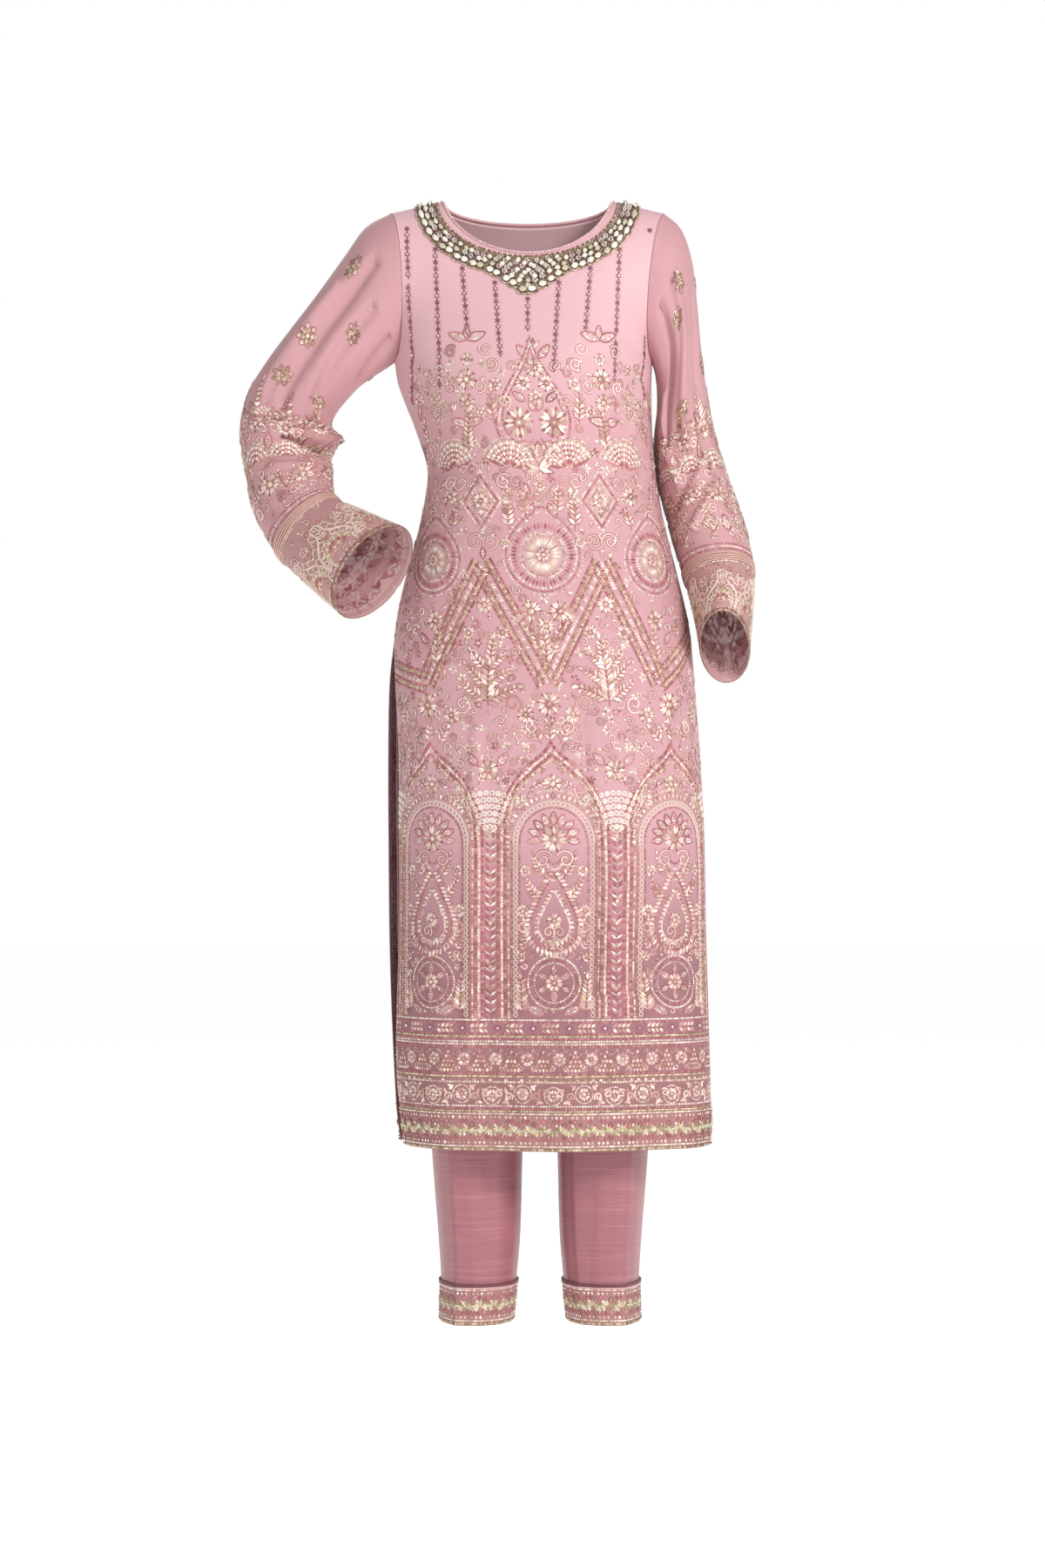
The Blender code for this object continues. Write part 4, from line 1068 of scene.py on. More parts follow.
def groundFill(work, inside, box, pitch, size, gap=0.0, plain=0.0):
  # curls, florets and leaves close together in what is left between the motifs
  x0, x1, z0, z1 = box
  rows = int((z1 - z0) / (pitch * .82)) + 1
  for row in range(rows):
    z = z1 - row * pitch * .82
    for step in range(int((x1 - x0) / pitch) + 1):
      x = x0 + (step + row % 2 / 2) * pitch
      px, pz = x + chance.uniform(-.12, .12) * pitch, z + chance.uniform(-.12, .12) * pitch
      kind, turn = chance.random(), chance.uniform(0, 2 * pi)
      if kind < plain or not inside(px, pz) or not work.free(px, pz, gap):
        continue
      kind = (kind - plain) / (1 - plain)
      if kind < .42:
        tinyCurl(work, px, pz, turn, size, 1 if kind < .21 else -1)
      elif kind < .7:
        floret(work, px, pz, size, "ivory" if kind < .6 else "rose")
      elif kind < .94:
        for side in (-.8, 0.0, .8):
          leafStitch(work, px, pz, turn + side, size * .5, size * .17, "ivory" if side else "gold")
      else:
        work.add("crystal", "spark", px, pz, turn, .0027, .0027, .0015)


# finishes

def netFinish(name, colour, alpha, streak=.1, bands=None):
  # sheer net: fine threads both ways, paler and darker patches; bands give its colour down the tunic
  finish = Finish(name, Roughness=.55, Alpha=alpha, Sheen_Weight=.25, Sheen_Roughness=.35,
    Sheen_Tint=(1.0, .86, .86, 1), Specular_IOR_Level=.3)
  place = finish.place()
  patches = finish.noise(place, 9.0, 3.0)
  across = finish.noise(finish.stretched(place, (30, 30, 1500)), 1.0, 2.0)
  down = finish.noise(finish.stretched(place, (1500, 1500, 30)), 1.0, 2.0)
  weave = across * .5 + down * .5
  if bands:
    height = finish.node("SeparateXYZ", None, {"Vector": place}, output="Z")
    colour = finish.node("ValToRGB", {"stops": bands}, {"Fac": height * -.9})
    base = finish.mix(patches * .25, colour, tone(bands[0][1], .9))
  else:
    base = finish.mix(patches, tone(colour, .9), tone(colour, 1.08))
  shade = finish.mix(weave, tone((1, 1, 1), 1 - streak), (1, 1, 1))
  finish.feed("Base Color", finish.mix(1.0, base, shade, "MULTIPLY"))
  finish.bump(weave, .25, .0006)
  return finish


def silkFinish(name, colour):
  # raw silk: thick and thin threads lie across, so it is streaked with slubs
  finish = Finish(name, Roughness=.38, Sheen_Weight=.35, Sheen_Roughness=.35, Sheen_Tint=(1.0, .8, .8, 1),
    Specular_IOR_Level=.5)
  place = finish.place()
  fine = finish.noise(finish.stretched(place, (14, 14, 1300)), 1.0, 3.0, .6)
  slubs = finish.noise(finish.stretched(place, (10, 10, 560)), 1.0, 2.0, .55)
  warp = finish.noise(finish.stretched(place, (900, 900, 12)), 1.0, 2.0)
  broad = finish.noise(place, 5.0, 2.0)
  thick = finish.node("ValToRGB", {"stops": [(.55, (0, 0, 0)), (.7, (1, 1, 1))]}, {"Fac": slubs})
  thin = finish.node("ValToRGB", {"stops": [(.3, (1, 1, 1)), (.45, (0, 0, 0))]}, {"Fac": slubs})
  base = finish.mix(fine, tone(colour, .7), tone(colour, 1.28))
  base = finish.mix(broad * .6, base, tone(colour, .88))
  base = finish.mix(warp * .35, base, tone(colour, 1.15))
  base = finish.mix(thick * .5, base, tone(colour, 1.4))
  finish.feed("Base Color", finish.mix(thin * .4, base, tone(colour, .72)))
  finish.bump(fine * .6 + thick * .4, .45, .001)
  return finish


def plainFinish(name, colour, rough=.55, scale=1400.0, streak=.12, metallic=0.0):
  # close cloth or cord with a fine even weave
  finish = Finish(name, Roughness=rough, Metallic=metallic, Sheen_Weight=.2, Sheen_Roughness=.4)
  place = finish.place()
  weave = finish.noise(place, scale, 2.0)
  patches = finish.noise(place, 14.0, 2.0)
  base = finish.mix(weave, tone(colour, 1 - streak), tone(colour, 1 + streak))
  finish.feed("Base Color", finish.mix(patches * .4, base, tone(colour, .88)))
  finish.bump(weave, .3, .0005)
  return finish


def threadFinish(name, stops, rough=.45, metallic=0.0, coat=0.0, sheen=.3, specular=.5):
  # each stitch sits at its own place on the map, so a ramp gives every stitch its own shade
  finish = Finish(name, Roughness=rough, Metallic=metallic, Coat_Weight=coat, Coat_Roughness=.12,
    Sheen_Weight=sheen, Sheen_Roughness=.3, Specular_IOR_Level=specular)
  parts = finish.node("SeparateXYZ", None, {"Vector": finish.node("UVMap", {"uv_map": "OFBake"})}, output="X")
  finish.feed("Base Color", finish.node("ValToRGB", {"stops": stops}, {"Fac": parts}))
  return finish


# thread: ramp of shades, roughness, metallic, coat, sheen, shine
threads = {
  "ivory": ([(0.0, (.42, .24, .21)), (.35, (.62, .42, .36)), (.7, (.81, .64, .55)), (1.0, (.97, .89, .8))],
    .38, .12, 0.0, .3, .5),
  "rose": ([(0.0, (.26, .075, .085)), (.5, (.42, .135, .15)), (1.0, (.62, .28, .29))], .45, 0.0, 0.0, .3, .5),
  "mauve": ([(0.0, (.2, .055, .085)), (.5, (.3, .1, .14)), (1.0, (.44, .2, .23))], .45, 0.0, 0.0, .2, .5),
  "gold": ([(0.0, (.26, .15, .085)), (.5, (.56, .4, .25)), (1.0, (.9, .76, .56))], .34, .35, 0.0, .1, .6),
  "olive": ([(0.0, (.3, .23, .12)), (.5, (.52, .44, .27)), (1.0, (.78, .7, .48))], .4, .2, 0.0, .1, .5),
  "crystal": ([(0.0, (.42, .2, .22)), (.3, (.78, .56, .54)), (.6, (.88, .82, .78)), (1.0, (1.0, .98, .96))],
    .1, .15, .6, 0.0, .9),
  "stone": ([(0.0, (.52, .48, .32)), (.35, (.8, .7, .54)), (.65, (.96, .9, .8)), (1.0, (.98, .84, .8))],
    .12, .1, .7, 0.0, .9),
  "claw": ([(0.0, (.05, .03, .02)), (.5, (.14, .09, .05)), (1.0, (.36, .26, .15))], .35, .6, 0.0, 0.0, .6),
}
netThreads = ("ivory", "rose", "mauve", "gold", "crystal")
borderThreads = ("ivory", "rose", "mauve", "gold", "olive", "crystal")


def makeFinishes():
  return {name: threadFinish(name + "Thread", *values) for name, values in threads.items()}


cloths = {
  "netAlpha": .86,
  "netBands": [(0.0, (.88, .56, .59)), (.16, (.82, .5, .53)), (.25, (.7, .385, .415)),
    (.52, (.68, .37, .405)), (.65, (.7, .4, .435)), (.73, (.55, .28, .315)), (.81, (.33, .145, .17)),
    (.92, (.34, .15, .15))],
  # the back's bands stay paler low down than the front's, partly as painted light that lifts the shade on the
  # back and on its strip seen past the front's slit edge
  "backBands": [(0.0, (.88, .56, .59)), (.16, (.8, .48, .51)), (.27, (.68, .38, .41)), (.6, (.66, .37, .41)),
    (.82, (.6, .33, .37)), (.92, (.48, .25, .27))],
  "lining": (.84, .54, .57), "sleeve": (.66, .355, .375), "sleeveAlpha": .9, "organza": (.66, .37, .36),
  "organzaAlpha": .68, "silk": (.385, .145, .165), "border": (.4, .2, .18), "braid": (.7, .45, .38),
  "piping": (.2, .055, .07), "binding": (.74, .42, .44), "band": (.3, .21, .15),
}


# the cloth

def buildCloth():
  print("cloth")
  nets = {"front": netFinish("net", None, cloths["netAlpha"], bands=cloths["netBands"]),
    "back": netFinish("netBehind", None, cloths["netAlpha"], bands=cloths["backBands"])}
  lining = plainFinish("lining", cloths["lining"], .5)
  sleeveNet = netFinish("sleeveNet", cloths["sleeve"], cloths["sleeveAlpha"])
  organza = netFinish("organza", cloths["organza"], cloths["organzaAlpha"], .16)
  silk = silkFinish("rawSilk", cloths["silk"])
  border = plainFinish("borderNet", cloths["border"], .6)
  made = {}
  for face, step in (("front", tunic["step"]), ("back", .006)):
    grid = panelGrid(face, step, tunic["hem"])
    made["tunic." + face] = clothPiece("tunic." + face, grid, tunic["thickness"], nets[face],
      ("kameez_" + face,))
    inner = panelGrid(face, .011, tunic["liningHem"], .985)
    sign = tunic[face]["sign"]
    inner[..., 1] -= sign * np.clip(np.abs(inner[..., 1]) - .001, 0, .005)
    inner[..., 2] -= .0035 * softStep(-.19, 0.0, inner[..., 2])
    low = inner[..., 2] < tunic["slitTop"]
    middle = inner[:, inner.shape[1] // 2, 0][:, None]
    inner[..., 0] = middle + (inner[..., 0] - middle) * np.where(low, .965, .985)
    made["lining." + face] = clothPiece("lining." + face, inner, .0007, lining,
      ("lining_" + face,))
    rows = np.linspace(tunic["borderTop"], tunic["hem"] - .0004, 11)
    across = np.linspace(-1, 1, 90)
    strip = np.array([tunicPoints(face, across, np.full(90, z)) for z in rows])
    strip[..., 1] += sign * .0011
    made["hem." + face] = clothPiece("hemBorder." + face, strip, .0009, border,
      ("hem_border_" + face,))
  for side in ("right", "left"):
    turns = np.linspace(0, 360, 73)[:-1]
    places = np.concatenate([np.linspace(0.0, 6.4, 46), np.linspace(6.5, 9.99, 44)])
    grid = sleevePoints(side, places[:, None], turns[None])
    made["sleeve." + side] = clothPiece("sleeve." + side, grid, sleeves["thickness"], sleeveNet,
      ("sleeve_" + side,), loop=True)
    grid = sleevePoints(side, np.linspace(10.01, 12, 26)[:, None], turns[None])
    made["cuff." + side] = clothPiece("cuff." + side, grid, .0006, organza,
      ("cuff_" + side,), loop=True)
    for face in ("front", "back"):
      heights = np.linspace(trousers["top"], trousers["hem"], 150)
      share = np.linspace(0, 1, 37)
      grid = np.array([legPoints(side, face, np.full(37, z), share) for z in heights])
      name = "trouser_" + face + "_" + side
      made[name] = clothPiece("trouser." + face + "." + side, grid, trousers["thickness"], silk,
        (name,))
    heights = np.linspace(trousers["borderTop"], trousers["hem"] - .0004, 11)
    grid = np.array([legLoop(side, z, 46, .0012) for z in heights])
    made["legBorder." + side] = clothPiece("legBorder." + side, grid, .0009, border,
      ("leg_border_" + side,), loop=True)
  heights = np.linspace(-.325, -.3515, 8)
  turns = np.linspace(0, 2 * pi, 181)[:-1]
  gather = .0009 * np.sin(turns * 60)
  depth = np.where(np.sin(turns) > 0, .058, .076)
  ring = [np.stack([trousers["middle"] + (.1185 + gather) * np.cos(turns),
    (depth - .0005 + gather) * np.sin(turns), z + 0 * turns], axis=-1) for z in heights]
  made["waistband"] = clothPiece("waist.elastic", np.array(ring), .0022, silk, ("waistband",),
    loop=True)
  return made


def buildCords():
  print("cords and braids")
  gold = plainFinish("braidCord", cloths["braid"], .4, 1800.0, .3, .35)
  pink = plainFinish("braidPink", cloths["binding"], .5)
  dark = plainFinish("pipingCord", cloths["piping"], .5)
  for side in ("right", "left"):
    strands = []
    turn = np.linspace(0, 360, 241)[:-1]
    for row, radius in ((-.105, .0009), (-.035, .001), (.035, .001), (.105, .0009)):
      for phase in (0, pi):
        wave = np.radians(turn) * 42 + phase
        line = sleevePoints(side, 10 + row + .012 * np.sin(wave), turn, .0011 + .0005 * np.cos(wave))
        strands.append(tubeMesh(line, radius, 5))
    mesh = joinedMesh("braid." + side, strands)
    linkPiece("braid." + side, mesh, gold, ("cuff_braid_" + side,))
    ring = legLoop(side, trousers["borderTop"] + .0018, 60, .0016)
    mesh = joinedMesh("piping." + side, [tubeMesh(ring, .0013, 8)])
    linkPiece("piping." + side, mesh, dark, ("leg_piping_" + side,))
    ring = legLoop(side, trousers["borderTop"] - .0012, 60, .002)
    mesh = joinedMesh("paleLine." + side, [tubeMesh(ring, .001, 6)])
    linkPiece("paleLine." + side, mesh, pink, ())
  front, back = (tunicPoints(face, a, shoulderHeight(a) + (tunic["armpit"] - shoulderHeight(a))
    * neckDown(face, a)) for face, a in (("front", neckLine()), ("back", neckLine()[::-1][1:-1])))
  loop = np.concatenate([front, back])
  centre = np.array((.003, 0.0, .02))
  loop = loop + unit(centre - loop) * .0016
  mesh = joinedMesh("neckBinding", [tubeMesh(loop, .0018, 8)])
  linkPiece("neckBinding", mesh, pink, ("neck_binding",))
  return loop


def neckLine():
  sines = np.sin(.5 * pi * np.linspace(-1, 1, 81))
  return np.where(sines < 0, sines * neckAcross(-1), sines * neckAcross(1))


# embroidery of the tunic's front

frontWork = {
  # heights and half widths in metres on the flat front
  "chainPitch": .008,
  "archPitch": .147, "archPeak": -.636, "archSpring": -.726, "archFoot": -.9475,
  "ringTop": -.703, "columnHalf": .0165,
  "zigPeak": -.429, "zigValley": -.564,
}

# motif, reach from the middle, z, turn in degrees, size, all in mm (a full sun is 1000); made on both sides
yokeMotifs = [
  ("bloom", 0, -206, 0, 11), ("bloom", 13, -224, 0, 9.5), ("bloom", 0, -240, 0, 8.5),
  ("bloom", 20, -268, 0, 17), ("drop", 6, -195, 52, 20), ("drop", 12, -245, 40, 17),
  ("drop", 2, -256, 70, 15), ("drop", 8, -290, -30, 23), ("spray", 4, -286, -62, 30),
  ("curl", 34, -254, 80, 9), ("curl", 22, -210, 60, 7), ("bud", 0, -184, 90, 12),
  # candlestick beside it: curled arms, flowers on a stem, leaves
  ("drop", 76, -172, 20, 23), ("drop", 76, -172, 160, 23), ("drop", 76, -172, 90, 17),
  ("curl", 89, -180, -40, 8), ("curl", 62, -180, 200, 8), ("bloom", 76, -195, 0, 7.5),
  ("bloom", 77, -218, 0, 12.5), ("bloom", 78, -245, 0, 10.5), ("drop", 79, -269, 15, 21),
  ("drop", 79, -269, 165, 21), ("spray", 79, -299, 90, 44), ("curl", 64, -234, 110, 8),
  ("curl", 92, -234, 60, 8), ("bloom", 62, -256, 0, 7), ("bud", 93, -254, 80, 11),
  # tall cone full of flowers, over the ribs
  ("cone", 112, -248, 96, 40), ("bloom", 133, -236, 0, 9), ("drop", 133, -260, 100, 19),
  ("bloom", 45, -225, 0, 8), ("spray", 48, -270, 80, 36), ("curl", 52, -208, 120, 8),
  ("spray", 127, -290, 94, 26), ("bloom", 108, -205, 0, 6.5), ("bud", 122, -213, 90, 10),
]
waistMotifs = [("fan", 34, -318, 98, 30), ("fan", 98, -318, 84, 30), ("drop", 0, -315, 90, 25),
  ("bud", 0, -320, 20, 16), ("bud", 0, -320, 160, 16), ("curl", 34, -328, -140, 10),
  ("curl", 34, -328, -40, 10), ("curl", 96, -328, -140, 10), ("curl", 96, -328, -40, 10),
  ("bloom", 0, -339, 0, 7.5), ("drop", 12, -348, 50, 17), ("spray", 17, -374, 76, 30),
  ("drop", 17, -376, 118, 18), ("diamond", 69, -356, 0, 50), ("spray", 38, -390, 86, 42),
  ("bloom", 38, -345, 0, 6.5), ("curl", 69, -408, 30, 11), ("curl", 69, -408, 150, 11),
  ("drop", 69, -423, 90, 14), ("bloom", 104, -350, 0, 11), ("spray", 104, -388, 98, 26),
  ("bloom", 124, -365, 0, 8), ("bloom", 43, -405, 0, 6), ("sun", 0, -418.8, 0, 1000),
  ("sun", 127, -423, 0, 900)]
skirtMotifs = [
  # under the zigzag's valleys and in its peaks
  ("bloom", 16.5, -484, 0, 12.5), ("bloom", 0, -501, 0, 9), ("spray", 0, -546, 90, 48),
  ("spray", 3, -536, 62, 33), ("drop", 20, -508, 60, 17), ("bud", 31, -496, 80, 12),
  ("bloom", 127, -493, 0, 12), ("spray", 127, -545, 90, 42), ("drop", 118, -520, 130, 17),
  ("drop", 136, -520, 50, 17), ("bloom", 150, -502, 0, 8),
  ("spray", 69.5, -592, 90, 76), ("bloom", 69.5, -476, 0, 10), ("spray", 69.5, -586, 30, 38),
  ("spray", 69.5, -586, 150, 38), ("spray", 69.5, -568, 38, 33), ("spray", 69.5, -568, 142, 33),
  ("spray", 69.5, -550, 44, 27), ("spray", 69.5, -550, 136, 27), ("bloom", 89, -508, 0, 8.5),
  ("bloom", 50, -508, 0, 8.5), ("curl", 34, -598, 50, 11), ("curl", 105, -598, 130, 11),
  # row of flowers, curls and palm sprays over the arches
  ("bloom", 0, -590, 0, 14), ("bloom", 27, -602, 0, 10), ("curl", 13, -612, -30, 9),
  ("spray", 0, -636, 90, 24), ("spray", 10, -636, 60, 23), ("bloom", 139, -590, 0, 14),
  ("bloom", 112, -602, 0, 10), ("bloom", 166, -602, 0, 10), ("curl", 126, -612, -150, 9),
  ("curl", 152, -612, -30, 9), ("spray", 139, -636, 90, 24), ("spray", 129, -636, 120, 23),
  ("spray", 149, -636, 60, 23),
]


def placeMotif(work, kind, x, z, angle, size, hand):
  if kind == "bloom":
    flower(work, x, z, size, 8 if size > .0095 else 6)
  elif kind == "drop":
    leafEye(work, x, z, angle, size, size * .46)
  elif kind == "bud":
    for turn in (-.6, 0.0, .6):
      leafStitch(work, x, z, angle + turn, size, size * .3)
  elif kind == "spray":
    sprig(work, x, z, angle, size, max(int(size / .0062), 3), .12 * hand, size=.0092 / size + .06)
  elif kind == "curl":
    scroll(work, x, z, angle, size, hand)
  elif kind == "fan":
    shellFan(work, x, z, angle, size, 150, 9, 4)
  elif kind == "diamond":
    beadDiamond(work, x, z, size, size * 1.42)
  elif kind == "sun":
    sunDrop(work, x, z, size)
  elif kind == "cone":
    for hand in (1, -1):
      side = [turnedBy(x, z, angle, size * (t - .5), hand * size * .36 * sin(pi * t) ** .8)
        for t in np.linspace(0, 1, 12)]
      rope(work, np.array(side), "gold", .0022)
    for along, aside in ((-.26, 0.0), (-.06, .14), (-.06, -.14), (.14, 0.0), (.14, .22), (.14, -.22),
        (.32, 0.0)):
      flower(work, *turnedBy(x, z, angle, along * size, aside * size), size * .125, 6)
    work.keepClear(x, z, size * .42)


def placeAll(work, flat, motifs):
  rows = np.array(tunic["front"]["rows"]) / 1000
  for kind, reach, z, turn, size in motifs:
    reach, z, size = reach / 1000, z / 1000, size / 1000
    axis = float(np.interp(-z, -rows[:, 0], rows[:, 2]))
    for side in (1, -1) if reach else (1,):
      angle = radians(turn if side > 0 else 180 - turn)
      placeMotif(work, kind, flat(axis + side * reach, z), z, angle, size, side)


def starChain(work, line):
  for k, (x, z, heading) in enumerate(evenly(line, frontWork["chainPitch"])):
    work.add("mauve", "star", x, z, heading, .0092, .0092, .0012, .15 + .4 * (k % 2))
    work.add("mauve", "dot", x, z - frontWork["chainPitch"] / 2, 0, .0028, .0028, .0009, .3)
    if k % 3 == 1:
      work.add("crystal", "spark", x, z, 0, .0032, .0032, .0022, .45)
    work.keepClear(x, z, .003)


def yokeWork(work, flat):
  for x, top, low in ((-.14, -.036, -.236), (-.107, -.062, -.222), (-.0755, -.086, -.162),
      (-.0378, -.104, -.188), (0.0, -.124, -.158), (.0357, -.104, -.206), (.0724, -.086, -.158),
      (.106, -.062, -.215), (.141, -.038, -.23)):
    slant = .006 * np.sign(x)
    starChain(work, np.array([(flat(x - slant * k / 4, z), z)
      for k, z in enumerate(np.linspace(top, low, 5))]))
  # the pointed outline in the middle
  cx = flat(.005, -.24)
  for scale, thread, size in ((1.0, "rose", .003), (.92, "ivory", .0028), (.82, "rose", .0026)):
    turn = np.linspace(0, 1, 25)
    wide = .056 * scale * np.sin(pi * turn ** 1.35) ** .85 * (.35 + .65 * turn)
    z = -.243 + .074 * scale * (1 - 2 * turn)
    for side in (-1, 1):
      beadRow(work, np.stack([cx + side * wide, z], axis=-1), .003, size, thread)
  placeAll(work, flat, yokeMotifs)


def zigzagWork(work, flat):
  peak, valley = frontWork["zigPeak"], frontWork["zigValley"]
  xs = [(-.157, -.545), (-.116, valley), (-.0535, peak), (.0218, valley), (.0855, peak), (.151, valley),
    (.196, -.495)]
  knots = [(flat(x, z), z) for x, z in xs]
  for a, b in zip(knots[:-1], knots[1:]):
    line = straight(*a, *b, .004)
    turn = atan2(b[1] - a[1], b[0] - a[0])
    aside = np.array((-sin(turn), cos(turn)))
    for offset, thread, size in ((.012, "rose", .0038), (.0088, "gold", .003), (.0048, "rose", .0034)):
      for side in (-1, 1):
        beadRow(work, line + aside * offset * side, .0031, size, thread)
    barRow(work, line, .0034, .0062, .0028, "ivory", 60)
    for offset in (-.0068, .0068):
      rope(work, line + aside * offset, "gold", .0018)
    for x, z in line[::2]:
      work.keepClear(x, z, .0115)


def archWork(work, cx):
  peak, spring, foot = frontWork["archPeak"], frontWork["archSpring"], frontWork["archFoot"]
  half = frontWork["archPitch"] / 2 - frontWork["columnHalf"] + .006
  for shrink, thread, size in ((-.001, "rose", .0046), (.003, "ivory", .0036), (.0068, "rose", .0044),
      (.0106, "gold", .0032)):
    wide = half - shrink
    for side in (-1, 1):
      knots = [(cx + side * wide, foot), (cx + side * wide, spring), (cx + side * wide * .94, spring + .016),
        (cx + side * wide * .74, spring + .042), (cx + side * wide * .44, spring + .064 - shrink),
        (cx + side * wide * .16, spring + .078 - shrink), (cx, peak - shrink * 1.7)]
      beadRow(work, throughPoints(knots, .0028), .0031, size, thread)
  # inner arch of looped coils, carried down both sides
  inner, top = half - .0185, frontWork["ringTop"]
  middle = top - inner
  for k in range(27):
    angle = radians(180 * k / 26)
    x, z = turnedBy(cx, middle, angle, inner, 0)
    work.add("ivory", "ring", x, z, 0, .0074, .0074, .0012, .62)
    leafStitch(work, *turnedBy(x, z, angle, .005, 0), angle, .0075, .0034)
  for reach, thread in ((-.0052, "rose"), (.015, "ivory")):
    beadRow(work, arcLine(cx, middle, inner + reach, 0, 180, 40), .0031, .0026, thread)
  for side in (-1, 1):
    for x, z, heading in evenly(straight(cx + side * inner, middle - .004, cx + side * inner, foot + .003),
        .006):
      work.add("ivory", "ring", x, z, 0, .0062, .0062, .0012, .58)
    for offset, thread, size in ((-.0048, "rose", .0028), (.0046, "rose", .0026)):
      beadRow(work, straight(cx + side * (inner + offset), middle, cx + side * (inner + offset), foot), .0032,
        size, thread)
    # sprigs between the two arches
    for x, z, turn, long in ((.046, spring + .014, 128, .026), (.026, spring + .04, 150, .024),
        (.012, spring + .056, 100, .018), (.052, spring - .01, 98, .018)):
      sprig(work, cx + side * x, z, radians(turn if side > 0 else 180 - turn), long, 4, .1 * side)
    flower(work, cx + side * .036, spring + .026, .0075, 6)
  flower(work, cx, spring + .045, .011, 8)
  archFilling(work, cx)


def archFilling(work, cx):
  # an open flower on a curled stand, a skirt of bead lines, a ringed flower below, fronds on both sides
  z = -.7436
  flower(work, cx, z, .015, 8)
  for k in range(9):
    angle = radians(90 + 24 * (k - 4))
    leafEye(work, *turnedBy(cx, z, angle, .0155, 0), angle, .015, .008)
  for side in (-1, 1):
    scroll(work, cx + side * .003, z - .019, radians(-90 + side * 66), .011, side)
    sprig(work, cx + side * .011, -.788, radians(90 - side * 38), .028, 5, .2 * side)
    sprig(work, cx + side * .014, -.812, radians(90 - side * 58), .03, 5, .35 * side)
    flower(work, cx + side * .033, -.78, .007, 6)
    flower(work, cx + side * .036, -.826, .008, 6)
    scroll(work, cx + side * .03, -.852, radians(90 - side * 40), .0085, side)
    for k in range(3):
      sprig(work, cx + side * .03, -.884 + .012 * k, radians(90 - side * (60 - 18 * k)), .022, 4, .2 * side)
    sprig(work, cx + side * .036, -.944, radians(90 - side * 4), .04, 7)
    leafEye(work, cx + side * .012, -.944, radians(90 - side * 64), .02, .009)
  for k in range(4):
    beadRow(work, arcLine(cx, -.765 - .005 * k, .0075 + .0012 * k, 200, 340, 8), .0028, .0026,
      ("rose", "ivory")[k % 2])
  pear = [(0.0, -.784), (.008, -.796), (.018, -.816), (.0265, -.836), (.027, -.852), (.018, -.866),
    (0.0, -.872)]
  for side in (-1, 1):
    for scale, thread in ((1.0, "rose"), (.66, "ivory")):
      line = throughPoints([(cx + side * x * scale, -.842 + (z + .842) * scale) for x, z in pear])
      rope(work, line, thread, .0026)
      for x, z, heading in evenly(line, .0048):
        leafStitch(work, x, z, heading + side * radians(62), .0076 * scale + .0008, .0032)
    scroll(work, cx + side * .0015, -.856, radians(90 - side * 36), .0075, side)
  for radius, thread, size in ((.03, "ivory", .003), (.0262, "rose", .0028), (.0228, "ivory", .0024)):
    beadRow(work, arcLine(cx, -.908, radius, 0, 360, 36), .0031, size, thread)
  flower(work, cx, -.908, .01, 8)
  for k in range(6):
    angle = radians(60 * k + 30)
    leafEye(work, *turnedBy(cx, -.908, angle, .0095, 0), angle, .0115, .0066)
  flower(work, cx, -.837, .009, 8)
  work.keepClear(cx, -.908, .032)


def columnWork(work, cx):
  foot, top = frontWork["archFoot"], frontWork["archSpring"] - .002
  for x, thread in ((-.0125, "gold"), (.0125, "gold"), (-.0095, "rose"), (.0095, "rose")):
    rope(work, straight(cx + x, top, cx + x, foot), thread, .0022)
  for k in range(int((top - foot) / .0031)):
    z = top - .002 - .0031 * k
    for side in (-1, 1):  # herringbone bars in turns of rose and ivory
      thread = ("rose", "ivory", "rose")[k % 3]
      work.add(thread, "seed", cx, z - .004, radians(90 - side * 52), .009, .003, .0008)
  for k in range(int((top - foot) / .025)):
    work.add("gold", "dot", cx, top - .012 - .025 * k, 0, .0046, .0046, .0014)
  # fan over the column, its point down, with rows of scallops
  for row in range(6):
    reach = .016 + .0078 * row
    for k in range(row + 3):
      angle = radians(90 + 58 * ((k + .5) / (row + 3) - .5))
      x, z = turnedBy(cx, -.746, angle, reach, 0)
      work.add("ivory", "ring", x, z, 0, .0066, .0066, .0012, .95)
      leafStitch(work, x, z - .004, pi / 2, .007, .0026)
  for side in (-1, 1):
    turn = radians(90 + side * 33)
    rope(work, np.array([(cx, -.744), turnedBy(cx, -.744, turn, .062, 0)]), "ivory", .0024)
    sprig(work, cx + side * .012, -.682, radians(90 + side * 24), .022, 4, .15 * side)
    leafEye(work, cx + side * .012, -.66, radians(90 - side * 40), .018, .009)
  flower(work, cx, -.665, .012, 8)
  work.keepClear(cx, -.71, .026)


